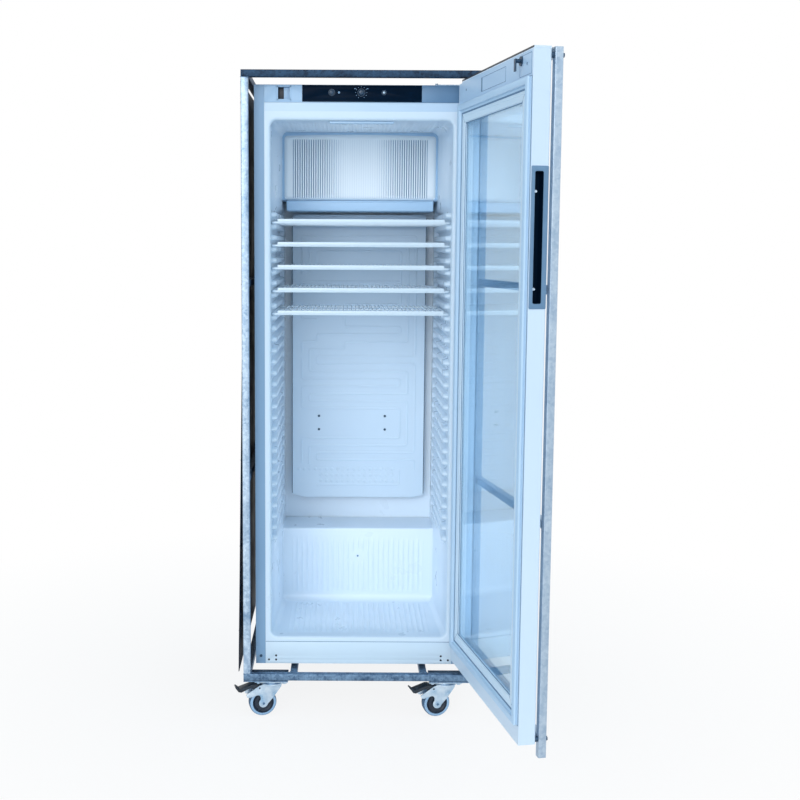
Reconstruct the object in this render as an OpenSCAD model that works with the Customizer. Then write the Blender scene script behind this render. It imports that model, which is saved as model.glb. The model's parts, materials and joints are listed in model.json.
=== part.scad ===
// Upright glass door refrigerator standing in a wheeled transport cage.
// Origin: on the floor, at the centre of the cage. +Z is up, +X is the hinge side, -Y is the front.

/* [Cabinet] */
// Width of the cabinet
cab_w = 600; // [560:5:640]
// Height of the cabinet
cab_h = 1660; // [1560:10:1760]
// Depth of the cabinet body without its door
cab_d = 558; // [520:2:580]
// Thickness of the outer steel sheet
sheet_t = 1; // [0.8:0.1:1.4]
// Width of the painted steel flange at each side of the front
flange_w = 28; // [22:1:34]
// Height of the kick panel
kick_h = 66; // [50:1:75]
// Height of the control fascia
fascia_h = 47; // [42:1:50]
// Clearance between parts that lie next to each other
gap = 0.3; // [0.2:0.05:0.5]

/* [Compartment] */
// Width of the front opening of the inner liner
mouth_w = 510; // [480:2:520]
// Height of the opening's lower edge above the cabinet's bottom
mouth_low = 81; // [74:1:95]
// Distance of the opening's upper edge below the cabinet's top
mouth_top = 97; // [85:1:120]
// Corner radius of the opening
mouth_r = 16; // [8:1:24]
// Depth of the compartment
room_d = 508; // [490:2:512]
// Wall thickness of the inner liner
liner_t = 2; // [1.5:0.1:3]
// Depth of the shelf ribs on the side walls
rib_depth = 15; // [11:0.5:16]
// Vertical pitch of the shelf ribs
rib_pitch = 32.35; // [30:0.05:36]
// Number of shelf ribs on each side wall
rib_count = 30; // [24:1:30]
// Height of a shelf rib
rib_h = 16.5; // [12:0.5:18]
// Distance of the shelf ribs from the front
rib_front = 34; // [28:1:60]
// Distance of the ribs' rear ends from the front
rib_back = 455; // [430:1:462]
// Distance of the hump over the compressor from the front
hump_y = 353; // [340:1:366]
// Height of the hump's top above the cabinet's bottom
hump_top = 319; // [300:1:335]
// Pitch of the fine ribs on the hump and the floor
fine_pitch = 16; // [13:0.5:20]
// Height of the fine ribs
fine_h = 2.5; // [1.5:0.1:3]

/* [Shelves] */
// Distance of the top shelf's side wires below the opening's upper edge
shelf_drop = 282; // [273:0.5:293]
// Rib pitches between two shelves
shelf_step = 2; // [1:1:4]
// Diameter of the shelf's frame wire
frame_wire = 6; // [5:0.5:7]
// Diameter of the shelf's long wires
grid_wire = 3.4; // [2.5:0.1:4]
// Number of long wires
grid_count = 19; // [13:1:23]
// Depth of a shelf from front to back
shelf_d = 418; // [390:2:430]
// Distance of the shelf's front wire from the cabinet's front
shelf_front = 24; // [20:1:28]
// Height of the shelf's front strip above the wire's centre
strip_h = 10; // [6:0.5:14]

/* [Evaporator] */
// Distance of the evaporator cover from the front
cover_y = 340; // [325:1:350]
// Width of the evaporator cover
cover_w = 474; // [440:2:476]
// Height of the evaporator cover
cover_h = 200; // [170:1:210]
// Distance of the cover's upper edge below the opening's upper edge
cover_top = 8; // [5:1:30]
// Wall thickness of the evaporator cover
cover_t = 2.5; // [2:0.1:4]
// Pitch of the cover's front ribs
cover_rib_pitch = 7; // [5:0.5:10]
// Width of the plain centre of the cover
cover_plain = 92; // [60:2:140]
// Height of the drip tray under the cover
tray_h = 32; // [24:1:40]
// Width of the drip tray
tray_w = 454; // [420:2:460]
// Distance of the evaporator plate from the front
plate_y = 470; // [462:1:478]
// Width of the evaporator plate
plate_w = 428; // [400:2:440]
// Distance of the plate's lower edge above the hump's top
plate_lift = 76; // [60:1:100]
// Distance of the plate's upper edge below the opening's upper edge
plate_top = 248; // [243:1:275]
// Thickness of the plate's sheet
plate_t = 1.6; // [1.2:0.1:2.5]
// Diameter of the fan
fan_dia = 120; // [90:2:130]

/* [Door] */
// Thickness of the door
door_t = 44; // [38:0.5:50]
// Gap between the door and the cabinet's front, filled by the gasket
door_gap = 12; // [10:0.5:14]
// Height of the door's lower edge above the cabinet's bottom
door_low = 21; // [18:0.5:30]
// Height of the door's upper edge above the cabinet's top
door_over = 4; // [2:0.5:5]
// Thickness of the black cap on top of the door
cap_t = 4.5; // [3:0.5:5]
// Amount by which the free edge stays inside the cabinet's width
door_inset = 3; // [1:0.5:6]
// Width of the top rail
top_rail = 96; // [88:1:102]
// Width of the bottom rail
bottom_rail = 81; // [76:1:90]
// Width of the two stiles
stile_w = 52; // [48:1:56]
// Wall thickness of the hollow door profiles
profile_t = 2; // [1.5:0.1:3]
// Thickness of one glass pane
glass_t = 4; // [3:0.5:6]
// Space between the two panes
glass_space = 16; // [10:1:18]
// Width of the gasket's band
gasket_w = 26; // [20:1:30]
// Width of the mitred inner frame
bead_w = 28; // [24:1:34]
// Distance of the hinge axis from the cabinet's side
hinge_in = 13; // [12:0.5:15]
// Distance of the hinge axis in front of the cabinet
hinge_fwd = 29; // [27:0.5:31]
// Diameter of the hinge pins
pin_dia = 8; // [6:0.5:9]
// Radial clearance of the pins in their bushes
pin_play = 0.05; // [0.02:0.01:0.1]
// Opening angle at which the door stands
door_open = 100.7; // [95:0.1:104]
// Length of the handle insert
handle_len = 322; // [260:2:400]
// Height of the handle insert's centre
handle_z = 1237; // [1100:1:1300]

/* [Gate] */
// Clearance between the door and the tube gate in front of it
gate_gap = 8; // [7:0.5:12]
// Height of the gate's upper crossbar above the cabinet's bottom
gate_bar_high = 1107; // [1000:1:1200]
// Height of the gate's lower crossbar
gate_bar_low = 550; // [450:1:650]

/* [Cage] */
// Clearance between the cabinet's sides and the cage's tubes
side_gap = 12; // [10:1:30]
// Distance of the cage's back behind the cabinet's back
rear_gap = 32; // [30:1:60]
// Side of the square tube
tube = 20; // [18:0.5:22]
// Wall thickness of the square tube
tube_t = 1.5; // [1.2:0.1:2.5]
// Distance of the cabinet's front behind the cage's front
cage_lead = 56; // [55:0.5:60]
// Height of the rubber pads between the cage and the cabinet
pad_h = 12; // [8:0.5:14]
// Distance of the base cross members from the middle
cross_x = 188; // [170:1:210]
// Height of the lower side bars above the cabinet's bottom
side_bar_low = 548; // [450:1:650]
// Height of the upper side bars above the cabinet's bottom
side_bar_high = 1100; // [1000:1:1200]
// Clear height between the cabinet's top and the cage's top tubes
cage_over = 13; // [12:0.5:20]
// Distance of the right front post behind the cage's front
post_back = 48; // [46:1:60]
// Thickness of the corner plates over the casters
corner_t = 4; // [3:0.5:6]
// Thickness of the black side sheets
side_t = 2; // [1.5:0.1:3]
// Flare of the side sheets at their lower edge
side_flare = 14; // [0:1:20]

/* [Casters] */
// Diameter of a caster wheel
wheel_dia = 80; // [75:1:82]
// Width of a caster wheel
wheel_w = 28; // [22:1:32]
// Height of a caster from the floor to its plate's top
caster_h = 106.5; // [104:0.5:110]
// Distance of the swivel axes from the cage's sides
caster_side = 80; // [72:1:90]
// Distance of the swivel axes behind the cage's front
caster_in = 33; // [32:1:40]
// Distance of the wheel's axle from the swivel axis
caster_trail = 28; // [24:1:34]
// Length of the brake lever from the swivel axis
lever_reach = 109; // [100:1:115]
// Angle by which the casters have swivelled
caster_turn = 14; // [0:1:30]

/* [Hidden] */
$fn = 48;

// Size of the cage and its levels and planes, in the part's frame
cage_w = cab_w + 2 * (side_gap + tube);
cage_d = cage_lead + cab_d + rear_gap;
plate_low_z = caster_h;
rail_low = caster_h + corner_t;
rail_high = rail_low + tube;
cab_z = rail_high + pad_h;
cage_front = -cage_d / 2;
cage_back = cage_d / 2;
cab_front = cage_front + cage_lead;
top_rail_low = cab_z + cab_h + cage_over;
cage_x = cage_w / 2;
caster_x = cage_x - caster_side;

// Planes of the cabinet, in the cabinet's own frame (front plane y = 0, bottom z = 0)
half_w = cab_w / 2;
flange_x = half_w - flange_w;
fascia_low = cab_h - sheet_t - fascia_h;
bay_y = hump_y + 30;
bay_top = hump_top - 30;
mouth_high = cab_h - mouth_top;
mouth_x = mouth_w / 2;
wall_x = mouth_x - rib_depth;
shelf_top_z = mouth_high - shelf_drop;
cover_high = mouth_high - cover_top;
cover_low = cover_high - cover_h;
plate_low = hump_top + plate_lift;
plate_high = mouth_high - plate_top;

// Planes of the door when it is closed, in the cabinet's frame
door_in = -door_gap;
door_out = door_in - door_t;
door_high = cab_h + door_over;
hinge_x = half_w - hinge_in;
hinge_y = -hinge_fwd;
free_x = -half_w + door_inset;
light_low = door_low + bottom_rail;
light_high = door_high - top_rail;
gate_in = door_out - gate_gap;
gate_out = gate_in - tube;
bore_r = pin_dia / 2 + pin_play;

// A helper that places things given in the cabinet's frame
module at_cabinet() {
    translate([0, cab_front, cab_z]) children();
}

// A helper that places things given in the closed door's frame
module at_door() {
    at_cabinet()
        translate([hinge_x, hinge_y, 0])
            rotate([0, 0, door_open])
                translate([-hinge_x, -hinge_y, 0]) children();
}

// A box from its low corner to its high corner
module span(low, high) {
    translate(low) cube(high - low);
}

// A rectangle with round corners, centred on x and standing on y = 0
module round_rect(w, h, r) {
    translate([-w / 2 + r, 0]) square([w - 2 * r, h]);
    translate([-w / 2, r]) square([w, h - 2 * r]);
    for (x = [-w / 2 + r, w / 2 - r], y = [r, h - r])
        translate([x, y]) circle(r);
}

// A drawing in x and z, pushed back along +y by a depth
module push_back(depth) {
    translate([0, depth, 0]) rotate([90, 0, 0]) linear_extrude(depth) children();
}

// A round bar along x
module bar_x(low, len, r) {
    translate(low) rotate([0, 90, 0]) cylinder(h = len, r = r);
}

// A round bar along y
module bar_y(low, len, r) {
    translate(low) rotate([-90, 0, 0]) cylinder(h = len, r = r);
}

// A hollow square tube along x, y or z, open at both ends
module tube_z(low, len) {
    translate(low) difference() {
        cube([tube, tube, len]);
        translate([tube_t, tube_t, -1]) cube([tube - 2 * tube_t, tube - 2 * tube_t, len + 2]);
    }
}

module tube_x(low, len) {
    translate(low) difference() {
        cube([len, tube, tube]);
        translate([-1, tube_t, tube_t]) cube([len + 2, tube - 2 * tube_t, tube - 2 * tube_t]);
    }
}

module tube_y(low, len) {
    translate(low) difference() {
        cube([tube, len, tube]);
        translate([tube_t, -1, tube_t]) cube([tube - 2 * tube_t, len + 2, tube - 2 * tube_t]);
    }
}

// The places of the four casters
function caster_places() = [
    [-caster_x, cage_front + caster_in], [caster_x, cage_front + caster_in],
    [-caster_x, cage_back - caster_in], [caster_x, cage_back - caster_in]];

// Cage

// Welded base: two long rails, two side rails and two cross members that carry the cabinet
module cage_base_frame() {
    inner = cage_d - 2 * tube;
    color("lightslategray")
        difference() {
            union() {
                for (y = [cage_front, cage_back - tube])
                    tube_x([-cage_x, y, rail_low], cage_w);
                for (x = [-cage_x, cage_x - tube, -cross_x - tube / 2, cross_x - tube / 2])
                    tube_y([x, cage_front + tube, rail_low], inner);
            }
            for (p = caster_places(), q = caster_holes())
                translate([p[0] + q[0], p[1] + q[1], rail_low - 1])
                    cylinder(h = tube_t + 2, r = bolt_hole_r);
        }
}

// Steel plates under the corners of the base, drilled for the casters
corner_w = 126;
corner_d = 90;
module cage_corner_plates() {
    color("slategray")
        for (p = caster_places()) {
            x0 = p[0] < 0 ? -cage_x : cage_x - corner_w;
            y0 = p[1] < 0 ? cage_front : cage_back - corner_d;
            difference() {
                translate([x0, y0, plate_low_z]) cube([corner_w, corner_d, corner_t]);
                for (q = caster_holes())
                    translate([p[0] + q[0], p[1] + q[1], plate_low_z - 1])
                        cylinder(h = corner_t + 2, r = bolt_hole_r);
            }
        }
}

// Corner posts; the right front one is set back so that the open door clears it
post_low = rail_high;
post_len = top_rail_low - rail_high;
right_post_y = cage_front + post_back;
module cage_posts() {
    color("lightsteelblue") {
        tube_z([-cage_x, cage_front, post_low], post_len);
        tube_z([cage_x - tube, right_post_y, post_low], post_len);
        for (x = [-cage_x, cage_x - tube])
            tube_z([x, cage_back - tube, post_low], post_len);
    }
}

// Welded top ring
module cage_top_frame() {
    inner = cage_d - 2 * tube;
    color("lightslategray") {
        for (y = [cage_front, cage_back - tube])
            tube_x([-cage_x, y, top_rail_low], cage_w);
        for (x = [-cage_x, cage_x - tube])
            tube_y([x, cage_front + tube, top_rail_low], inner);
    }
}

// Two horizontal bars on each side between the front and rear posts
side_bar_z = [cab_z + side_bar_low, cab_z + side_bar_high];
module cage_side_bars() {
    left_y = cage_front + tube;
    right_y = right_post_y + tube;
    color("lightslategray")
        for (z = side_bar_z) {
            tube_y([-cage_x, left_y, z], cage_back - tube - left_y);
            tube_y([cage_x - tube, right_y, z], cage_back - tube - right_y);
        }
}

// Black sheets outside the posts, flared at their lower edge
side_low = cab_z - 12;
side_high = cab_z + cab_h + 5;
side_knee = cab_z + 900;
module side_sheet_section() {
    polygon([
        [0, side_knee], [0, side_high], [side_t, side_high], [side_t, side_knee],
        [side_t + side_flare, side_low], [side_flare, side_low]]);
}
module side_sheets() {
    left_front = cage_front + tube;
    right_front = right_post_y + 3;
    back = cage_back - 8;
    color("#1b2530") {
        translate([-cage_x, 0, 0]) mirror([1, 0, 0])
            translate([0, left_front, 0]) push_back(back - left_front) side_sheet_section();
        translate([cage_x, right_front, 0]) push_back(back - right_front) side_sheet_section();
    }
}

// Rubber pads on the cross members, and grommets under the compressor
pad_len = 60;
pad_y = [cab_front + 40, cab_front + cab_d - 40 - pad_len];
module rubber_feet() {
    color("#222222") {
        for (x = [-cross_x, cross_x], y = pad_y)
            translate([x - tube / 2, y, rail_high]) cube([tube, pad_len, pad_h]);
        at_cabinet()
            for (p = compressor_feet())
                translate([p[0], p[1], floor_t])
                    difference() {
                        cylinder(h = grommet_h, r = 10);
                        translate([0, 0, -1]) cylinder(h = grommet_h + 2, r = 3);
                    }
    }
}

// Cabinet shell

// Side sheets, each folded inwards at the front into the flange
module side_panels() {
    color("lightsteelblue")
        at_cabinet()
            for (side = [0, 1])
                mirror([side, 0, 0]) linear_extrude(cab_h - sheet_t - gap)
                    polygon([
                        [half_w, 0], [flange_x, 0], [flange_x, sheet_t], [half_w - sheet_t, sheet_t],
                        [half_w - sheet_t, cab_d - sheet_t - gap], [half_w, cab_d - sheet_t - gap]]);
}

// Top sheet with a raised field behind the hinge bracket
field_in = 12;
field_front = 70;
field_lift = 1.5;
module top_panel() {
    low = [-half_w + field_in, field_front, cab_h - sheet_t];
    high = [half_w - field_in, cab_d - field_in, cab_h + field_lift];
    wall = [sheet_t, sheet_t, 0];
    color("lightsteelblue")
        at_cabinet()
            difference() {
                union() {
                    span([-half_w, 0, cab_h - sheet_t], [half_w, cab_d, cab_h]);
                    span(low, high);
                }
                span(low + wall - [0, 0, 1], high - wall - [0, 0, sheet_t]);
            }
}

// Steel back above the compressor bay
module back_panel() {
    color("silver")
        at_cabinet()
            difference() {
                span([-half_w, cab_d - sheet_t, bay_top], [half_w, cab_d, cab_h - sheet_t - gap]);
                for (z = [bay_top + 20, cab_h - 20], x = [-half_w + 20, half_w - 20])
                    bar_y([x, cab_d - sheet_t - 1, z], sheet_t + 2, 2);
            }
}

// Floor, front wall and roof of the compressor bay
floor_t = 1.5;
module base_panel() {
    side = half_w - sheet_t - gap;
    color("silver")
        at_cabinet() {
            difference() {
                span([-side, sheet_t + gap, 0], [side, cab_d - sheet_t, floor_t]);
                for (p = compressor_feet())
                    translate([p[0], p[1], -1]) cylinder(h = floor_t + 2, r = 2.5);
            }
            difference() {
                span([-side, bay_y, floor_t + gap], [side, bay_y + floor_t, bay_top - floor_t - gap]);
                bar_y([0, bay_y - 1, drain_z], floor_t + 2, drain_r + gap);
            }
            span([-side, bay_y, bay_top - floor_t], [side, cab_d - sheet_t, bay_top - gap]);
        }
}

// Inner liner

// Vertical comb of shelf ribs for one side wall, in x and z, from the wall's groove bottom inwards
rib_nose = 4;
module rib_comb() {
    for (i = [0:rib_count - 1]) {
        z = rib_first + i * rib_pitch;
        polygon([
            [mouth_x + 1, z - rib_h / 2 - rib_nose], [wall_x + rib_nose, z - rib_h / 2],
            [wall_x, z - rib_h / 2 + rib_nose], [wall_x, z + rib_h / 2 - 1],
            [wall_x + 1, z + rib_h / 2], [mouth_x + 1, z + rib_h / 2]]);
    }
}

// The second rib from the top carries the top shelf's side wires
rib_first = shelf_top_z - frame_wire / 2 - gap - rib_h / 2 - (rib_count - 2) * rib_pitch;
rib_zone_low = rib_first - rib_pitch / 2;
rib_zone_high = rib_first + (rib_count - 0.5) * rib_pitch;

// Plan of the compartment above and below the ribs, and between them
module plan_plain() {
    polygon([
        [-mouth_x, -1], [mouth_x, -1], [mouth_x, 12], [wall_x, hump_y],
        [wall_x, room_d], [-wall_x, room_d], [-wall_x, hump_y], [-mouth_x, 12]]);
}
module plan_ribbed() {
    polygon([
        [-mouth_x, -1], [mouth_x, -1], [mouth_x, rib_back], [wall_x, rib_back],
        [wall_x, room_d], [-wall_x, room_d], [-wall_x, rib_back], [-mouth_x, rib_back]]);
}

module room() {
    difference() {
        intersection() {
            union() {
                translate([0, 0, mouth_low - 1])
                    linear_extrude(rib_zone_low - mouth_low + 1) plan_plain();
                translate([0, 0, rib_zone_low])
                    linear_extrude(rib_zone_high - rib_zone_low) plan_ribbed();
                translate([0, 0, rib_zone_high])
                    linear_extrude(mouth_high - rib_zone_high + 1) plan_plain();
            }
            translate([0, -1, mouth_low])
                push_back(room_d + 2) round_rect(mouth_w, mouth_high - mouth_low, mouth_r);
        }
        for (side = [0, 1])
            mirror([side, 0, 0])
                translate([0, rib_front, 0]) push_back(rib_back - rib_front + 1) rib_comb();
        span([-mouth_x, hump_y, mouth_low - 1], [mouth_x, room_d + 1, hump_top]);
    }
}

// Fine ribs: a comb drawn along x and raised by the rib height
fine_reach = 200;
fine_front = 40;
module fine_comb() {
    count = floor(2 * fine_reach / fine_pitch);
    for (i = [0:count])
        translate([-count * fine_pitch / 2 + i * fine_pitch - 2, -1])
            square([4, fine_h + 1]);
}

liner_x = mouth_x + liner_t;
drain_r = 8;
drain_z = hump_top - 91;
module inner_liner() {
    color("aliceblue")
        at_cabinet()
            difference() {
                union() {
                    difference() {
                        union() {
                            span([-flange_x + gap, 0, kick_h + gap],
                                 [flange_x - gap, liner_t, fascia_low - gap]);
                            span([-liner_x, 0, mouth_low - liner_t],
                                 [liner_x, room_d + liner_t, mouth_high + liner_t]);
                        }
                        room();
                        span([-liner_x - 1, hump_y + liner_t, mouth_low - liner_t - 1],
                             [liner_x + 1, room_d + liner_t + 1, hump_top - liner_t]);
                    }
                    translate([0, hump_y, mouth_low + 10]) linear_extrude(hump_top - mouth_low - 43)
                        mirror([0, 1]) fine_comb();
                    translate([0, fine_front, mouth_low])
                        push_back(hump_y - 83 - fine_front) fine_comb();
                    translate([0, fine_front, mouth_high])
                        push_back(cover_y - 20 - fine_front) mirror([0, 1]) fine_comb();
                }
                bar_y([0, hump_y - fine_h - 1, drain_z], fine_h + liner_t + 2, drain_r);
            }
}

// Foam between the liner and the shell, without the compressor bay
module insulation() {
    side = half_w - sheet_t - gap;
    lx = liner_x + gap;
    color("khaki")
        at_cabinet()
            difference() {
                union() {
                    difference() {
                        span([-side, liner_t + gap, floor_t + gap],
                             [side, cab_d - sheet_t - gap, cab_h - sheet_t - gap]);
                        span([-lx, 0, mouth_low - liner_t - gap],
                             [lx, room_d + liner_t + gap, mouth_high + liner_t + gap]);
                    }
                    span([-lx - 1, hump_y + liner_t + gap, mouth_low - liner_t - 2],
                         [lx + 1, room_d + liner_t + 1, hump_top - liner_t - gap]);
                }
                span([-side - 1, bay_y - gap, floor_t], [side + 1, cab_d, bay_top]);
                span([-flange_x, 0, fascia_low - gap], [flange_x, fascia_depth + gap, cab_h]);
                bar_y([0, hump_y - 1, drain_z], bay_y - hump_y + 3, drain_r + gap);
            }
}

// Kick panel with the mounting holes of the reversible hinge
kick_hole_x = [half_w - 38, half_w - 59];
module kick_panel() {
    color("lightsteelblue")
        at_cabinet()
            difference() {
                span([-flange_x + gap, 0, 0], [flange_x - gap, sheet_t, kick_h]);
                for (side = [-1, 1]) {
                    bar_y([side * kick_hole_x[0], -1, 11.3], sheet_t + 2, 2);
                    for (z = [11.3, 23.5])
                        bar_y([side * kick_hole_x[1], -1, z], sheet_t + 2, 2);
                }
            }
}

// Controls

strip_x = 166;
strip_high = cab_h - 4;
strip_low = strip_high - 37;
strike_x = [-half_w + 64, -half_w + 103];
dial_x = -2;
key_x = -84;
lamp_x = 61;
knob_z = strip_high - 17;
dial_r = 8.5;
key_r = 7;
lamp_r = 3.5;
knob_seat = 6;
fascia_depth = 30;

// Grey fascia over the compartment, with the recess that takes the door's lock behind a thin lip
fascia_t = 2;
recess_depth = 14;
recess_wide = 8;
module fascia() {
    low = [strike_x[0] - recess_wide, 0, strip_low];
    high = [strike_x[1], recess_depth, strip_high - 1];
    wall = [1.5, 0, 1.5];
    color("lightslategray")
        at_cabinet()
            difference() {
                union() {
                    difference() {
                        span([-flange_x + gap, 0, fascia_low],
                             [flange_x - gap, fascia_depth, cab_h - sheet_t - gap]);
                        span([-flange_x + 3, fascia_t, fascia_low + fascia_t],
                             [flange_x - 3, fascia_depth + 1, cab_h - sheet_t - fascia_t]);
                    }
                    span(low - wall + [0, fascia_t - 0.5, 0], high + wall + [0, 1.5, 0]);
                }
                span(low + [0, fascia_t, 0], high);
                span([strike_x[0], -1, strip_low], [strike_x[1], recess_depth, strip_high - 1]);
                bar_y([dial_x, -1, knob_z], fascia_t + 2, dial_r - 4 + pin_play);
                bar_y([key_x, -1, knob_z], fascia_t + 2, key_r - 3 + pin_play);
                bar_y([lamp_x, -1, knob_z], fascia_t + 2, lamp_r + pin_play);
            }
}

// Black panel that carries the controls
strip_t = 1.2;
module control_strip() {
    color("#10202c")
        at_cabinet()
            difference() {
                span([-strip_x, -strip_t, strip_low], [strip_x, 0, strip_high]);
                bar_y([dial_x, -strip_t - 1, knob_z], strip_t + 2, dial_r - 4 + gap);
                bar_y([key_x, -strip_t - 1, knob_z], strip_t + 2, key_r - 3 + gap);
                bar_y([lamp_x, -strip_t - 1, knob_z], strip_t + 2, lamp_r + gap);
            }
}

// Turning thermostat knob with a coin slot and a shaft
module thermostat_dial() {
    color("#24323d")
        at_cabinet()
            difference() {
                union() {
                    bar_y([dial_x, -strip_t - gap - 5, knob_z], 5, dial_r);
                    bar_y([dial_x, -strip_t - gap - 0.5, knob_z], strip_t + knob_seat - 1.5, dial_r - 4);
                }
                span([dial_x - dial_r, -strip_t - gap - 6, knob_z - 1],
                     [dial_x + dial_r, -strip_t - gap - 4, knob_z + 1]);
            }
}

// Key switch for mains on and off
module key_switch() {
    color("slategray")
        at_cabinet()
            difference() {
                union() {
                    bar_y([key_x, -strip_t - gap - 4, knob_z], 4, key_r);
                    bar_y([key_x, -strip_t - gap - 0.5, knob_z], strip_t + knob_seat - 1.5, key_r - 3);
                }
                span([key_x - 0.7, -strip_t - gap - 5, knob_z - 4],
                     [key_x + 0.7, -strip_t - gap - 2, knob_z + 4]);
            }
}

// Push button of the compartment's lamp
lamp_out = 2.5;
module lamp_switch() {
    color("silver")
        at_cabinet()
            bar_y([lamp_x, -strip_t - lamp_out, knob_z], strip_t + 2 * lamp_out, lamp_r);
}

// Lamp let into the compartment's ceiling behind the mouth
lamp_len = 180;
lamp_y = 12;
lamp_w = 24;
lamp_h = 7;
module ceiling_lamp() {
    color("white")
        at_cabinet()
            span([-lamp_len / 2, lamp_y, mouth_high - lamp_h],
                 [lamp_len / 2, lamp_y + lamp_w, mouth_high - gap / 2]);
}

// Evaporator

// White box over the fan and the evaporator's upper part, with fine upright ribs on its front
vent_x = [-60:24:60];
module evaporator_cover() {
    w = cover_w;
    h = cover_h;
    rib_zone = (w - cover_plain) / 2 - 34;
    rib_n = floor(rib_zone / cover_rib_pitch);
    color("aliceblue")
        at_cabinet()
            difference() {
                union() {
                    translate([0, cover_y, cover_low]) push_back(room_d - gap - cover_y) round_rect(w, h, 12);
                    for (side = [-1, 1], i = [0:rib_n - 1])
                        translate([side * (cover_plain / 2 + 4 + i * cover_rib_pitch) - 1.5,
                                   cover_y - 1.5, cover_low + 14])
                            cube([3, 2, h - 34]);
                }
                translate([0, cover_y + cover_t, cover_low + cover_t])
                    push_back(room_d) round_rect(w - 2 * cover_t, h - 2 * cover_t, 10);
                for (x = vent_x)
                    span([fan_x + x - 8, cover_y + 40, cover_low - 1],
                         [fan_x + x + 8, cover_y + 90, cover_low + cover_t + 1]);
            }
}

// Shallow tray under the cover that catches the melt water
module drip_tray() {
    low = cover_low - gap - tray_h;
    color("aliceblue")
        at_cabinet()
            difference() {
                span([-tray_w / 2, cover_y - 6, low], [tray_w / 2, plate_y - 4, cover_low - gap]);
                span([-tray_w / 2 + 3, cover_y - 3, low + 3], [tray_w / 2 - 3, plate_y - 7, cover_low]);
            }
}

// Fan behind the cover: motor on a bracket, and the rotor on its shaft
fan_x = 0;
fan_z = (cover_low + cover_high) / 2;
motor_r = 22;
motor_d = 36;
shaft_r = 3;
motor_y = cover_y + 100;
arm_x = 90;
arm_w = 12;
arm_t = 3;
module fan_motor() {
    back = motor_y + motor_d;
    color("dimgray")
        at_cabinet() {
            difference() {
                union() {
                    bar_y([fan_x, motor_y, fan_z], motor_d, motor_r);
                    span([fan_x - arm_x, back - arm_t, fan_z - arm_w], [fan_x + arm_x, back, fan_z + arm_w]);
                    for (x = [fan_x - arm_x, fan_x + arm_x - arm_w])
                        span([x, back, fan_z - arm_w], [x + arm_w, room_d - gap, fan_z + arm_w]);
                }
                bar_y([fan_x, motor_y - 1, fan_z], 12, shaft_r + pin_play);
            }
        }
}

module fan_rotor() {
    hub_r = 16;
    color("gray")
        at_cabinet()
            translate([fan_x, motor_y - 30, fan_z]) rotate([-90, 0, 0]) {
                cylinder(h = 20, r = hub_r);
                cylinder(h = 40, r = shaft_r);
                for (a = [0:72:359])
                    rotate([0, 0, a])
                        translate([fan_dia / 4 + 3, 0, 10]) rotate([32, 0, 0])
                            cube([fan_dia / 2 - 6, 26, 2], center = true);
            }
}

// Rolled evaporator plate behind the shelves, with raised channels
stub_z = plate_low + 225;
plate_stub = [[-128, stub_z + 44], [-128, stub_z], [87, stub_z + 44], [87, stub_z]];
module channel_loop(x, z0, z1, w) {
    translate([0, plate_y - 2, 0]) push_back(2.2)
        difference() {
            translate([-x, z0]) square([2 * x, z1 - z0]);
            translate([-x + w, z0 + w]) square([2 * x - 2 * w, z1 - z0 - 2 * w]);
        }
}
module evaporator_plate() {
    px = plate_w / 2;
    color("lightsteelblue")
        at_cabinet() {
            difference() {
                union() {
                    translate([0, plate_y, 0]) push_back(plate_t)
                        polygon([
                            [-px, plate_high], [-px, plate_low + 9], [-px + 40, plate_low],
                            [px - 40, plate_low], [px, plate_low + 9], [px, plate_high]]);
                    for (i = [0:3])
                        channel_loop(px - 24 * (i + 1), plate_low + 30 + 24 * i, plate_high - 30 - 24 * i, 8);
                }
                for (p = plate_stub)
                    bar_y([p[0], plate_y - 1, p[1]], plate_t + 2, 2);
            }
        }
}

// Screws of the evaporator plate with their spacers, and the flange screw
module screws() {
    color("dimgray")
        at_cabinet() {
            for (p = plate_stub) {
                bar_y([p[0], plate_y - 2, p[1]], 2, 4);
                bar_y([p[0], plate_y - 1, p[1]], 12, 1.9);
                difference() {
                    bar_y([p[0], plate_y + plate_t, p[1]], room_d - plate_y - plate_t, 6);
                    bar_y([p[0], plate_y, p[1]], 9.5, 1.5);
                }
            }
            bar_y([-half_w + flange_w / 2 + 1, -2, 23], 2, 4);
        }
}

// Shelves

module wire_bend(r, wire) {
    rotate_extrude(angle = 90) translate([r, 0]) circle(wire / 2);
}

// One wire shelf: rounded frame wire, front strip, two stays and a grid of long wires
bend_r = 18;
wire_x = mouth_x - gap - frame_wire / 2;
module shelf(n) {
    x = wire_x - bend_r;
    y0 = shelf_front;
    y1 = shelf_front + shelf_d;
    z = shelf_top_z - (n - 1) * shelf_step * rib_pitch;
    r = frame_wire / 2;
    grid_z = z + r + grid_wire / 2 - 0.6;
    step = 2 * (wall_x - 14) / (grid_count - 1);
    color("white")
        at_cabinet() {
            bar_x([-x, y0, z], 2 * x, r);
            bar_x([-x, y1, z], 2 * x, r);
            for (side = [0, 1])
                mirror([side, 0, 0]) {
                    bar_y([wire_x, y0 + bend_r, z], shelf_d - 2 * bend_r, r);
                    translate([x, y1 - bend_r, z]) wire_bend(bend_r, frame_wire);
                    translate([x, y0 + bend_r, z]) rotate([0, 0, -90]) wire_bend(bend_r, frame_wire);
                }
            for (y = [y0 + shelf_d / 3, y0 + 2 * shelf_d / 3])
                bar_x([-wire_x, y, z - 1], 2 * wire_x, 2);
            for (i = [0:grid_count - 1])
                bar_y([-(wall_x - 14) + i * step, y0, grid_z], shelf_d, grid_wire / 2);
            span([-wall_x + 4, y0 - 4, z + 1], [wall_x - 4, y0 + 1, z + strip_h]);
        }
}
module shelf_1() { shelf(1); }
module shelf_2() { shelf(2); }
module shelf_3() { shelf(3); }
module shelf_4() { shelf(4); }
module shelf_5() { shelf(5); }

// Refrigeration, in the bay and on the back

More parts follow.
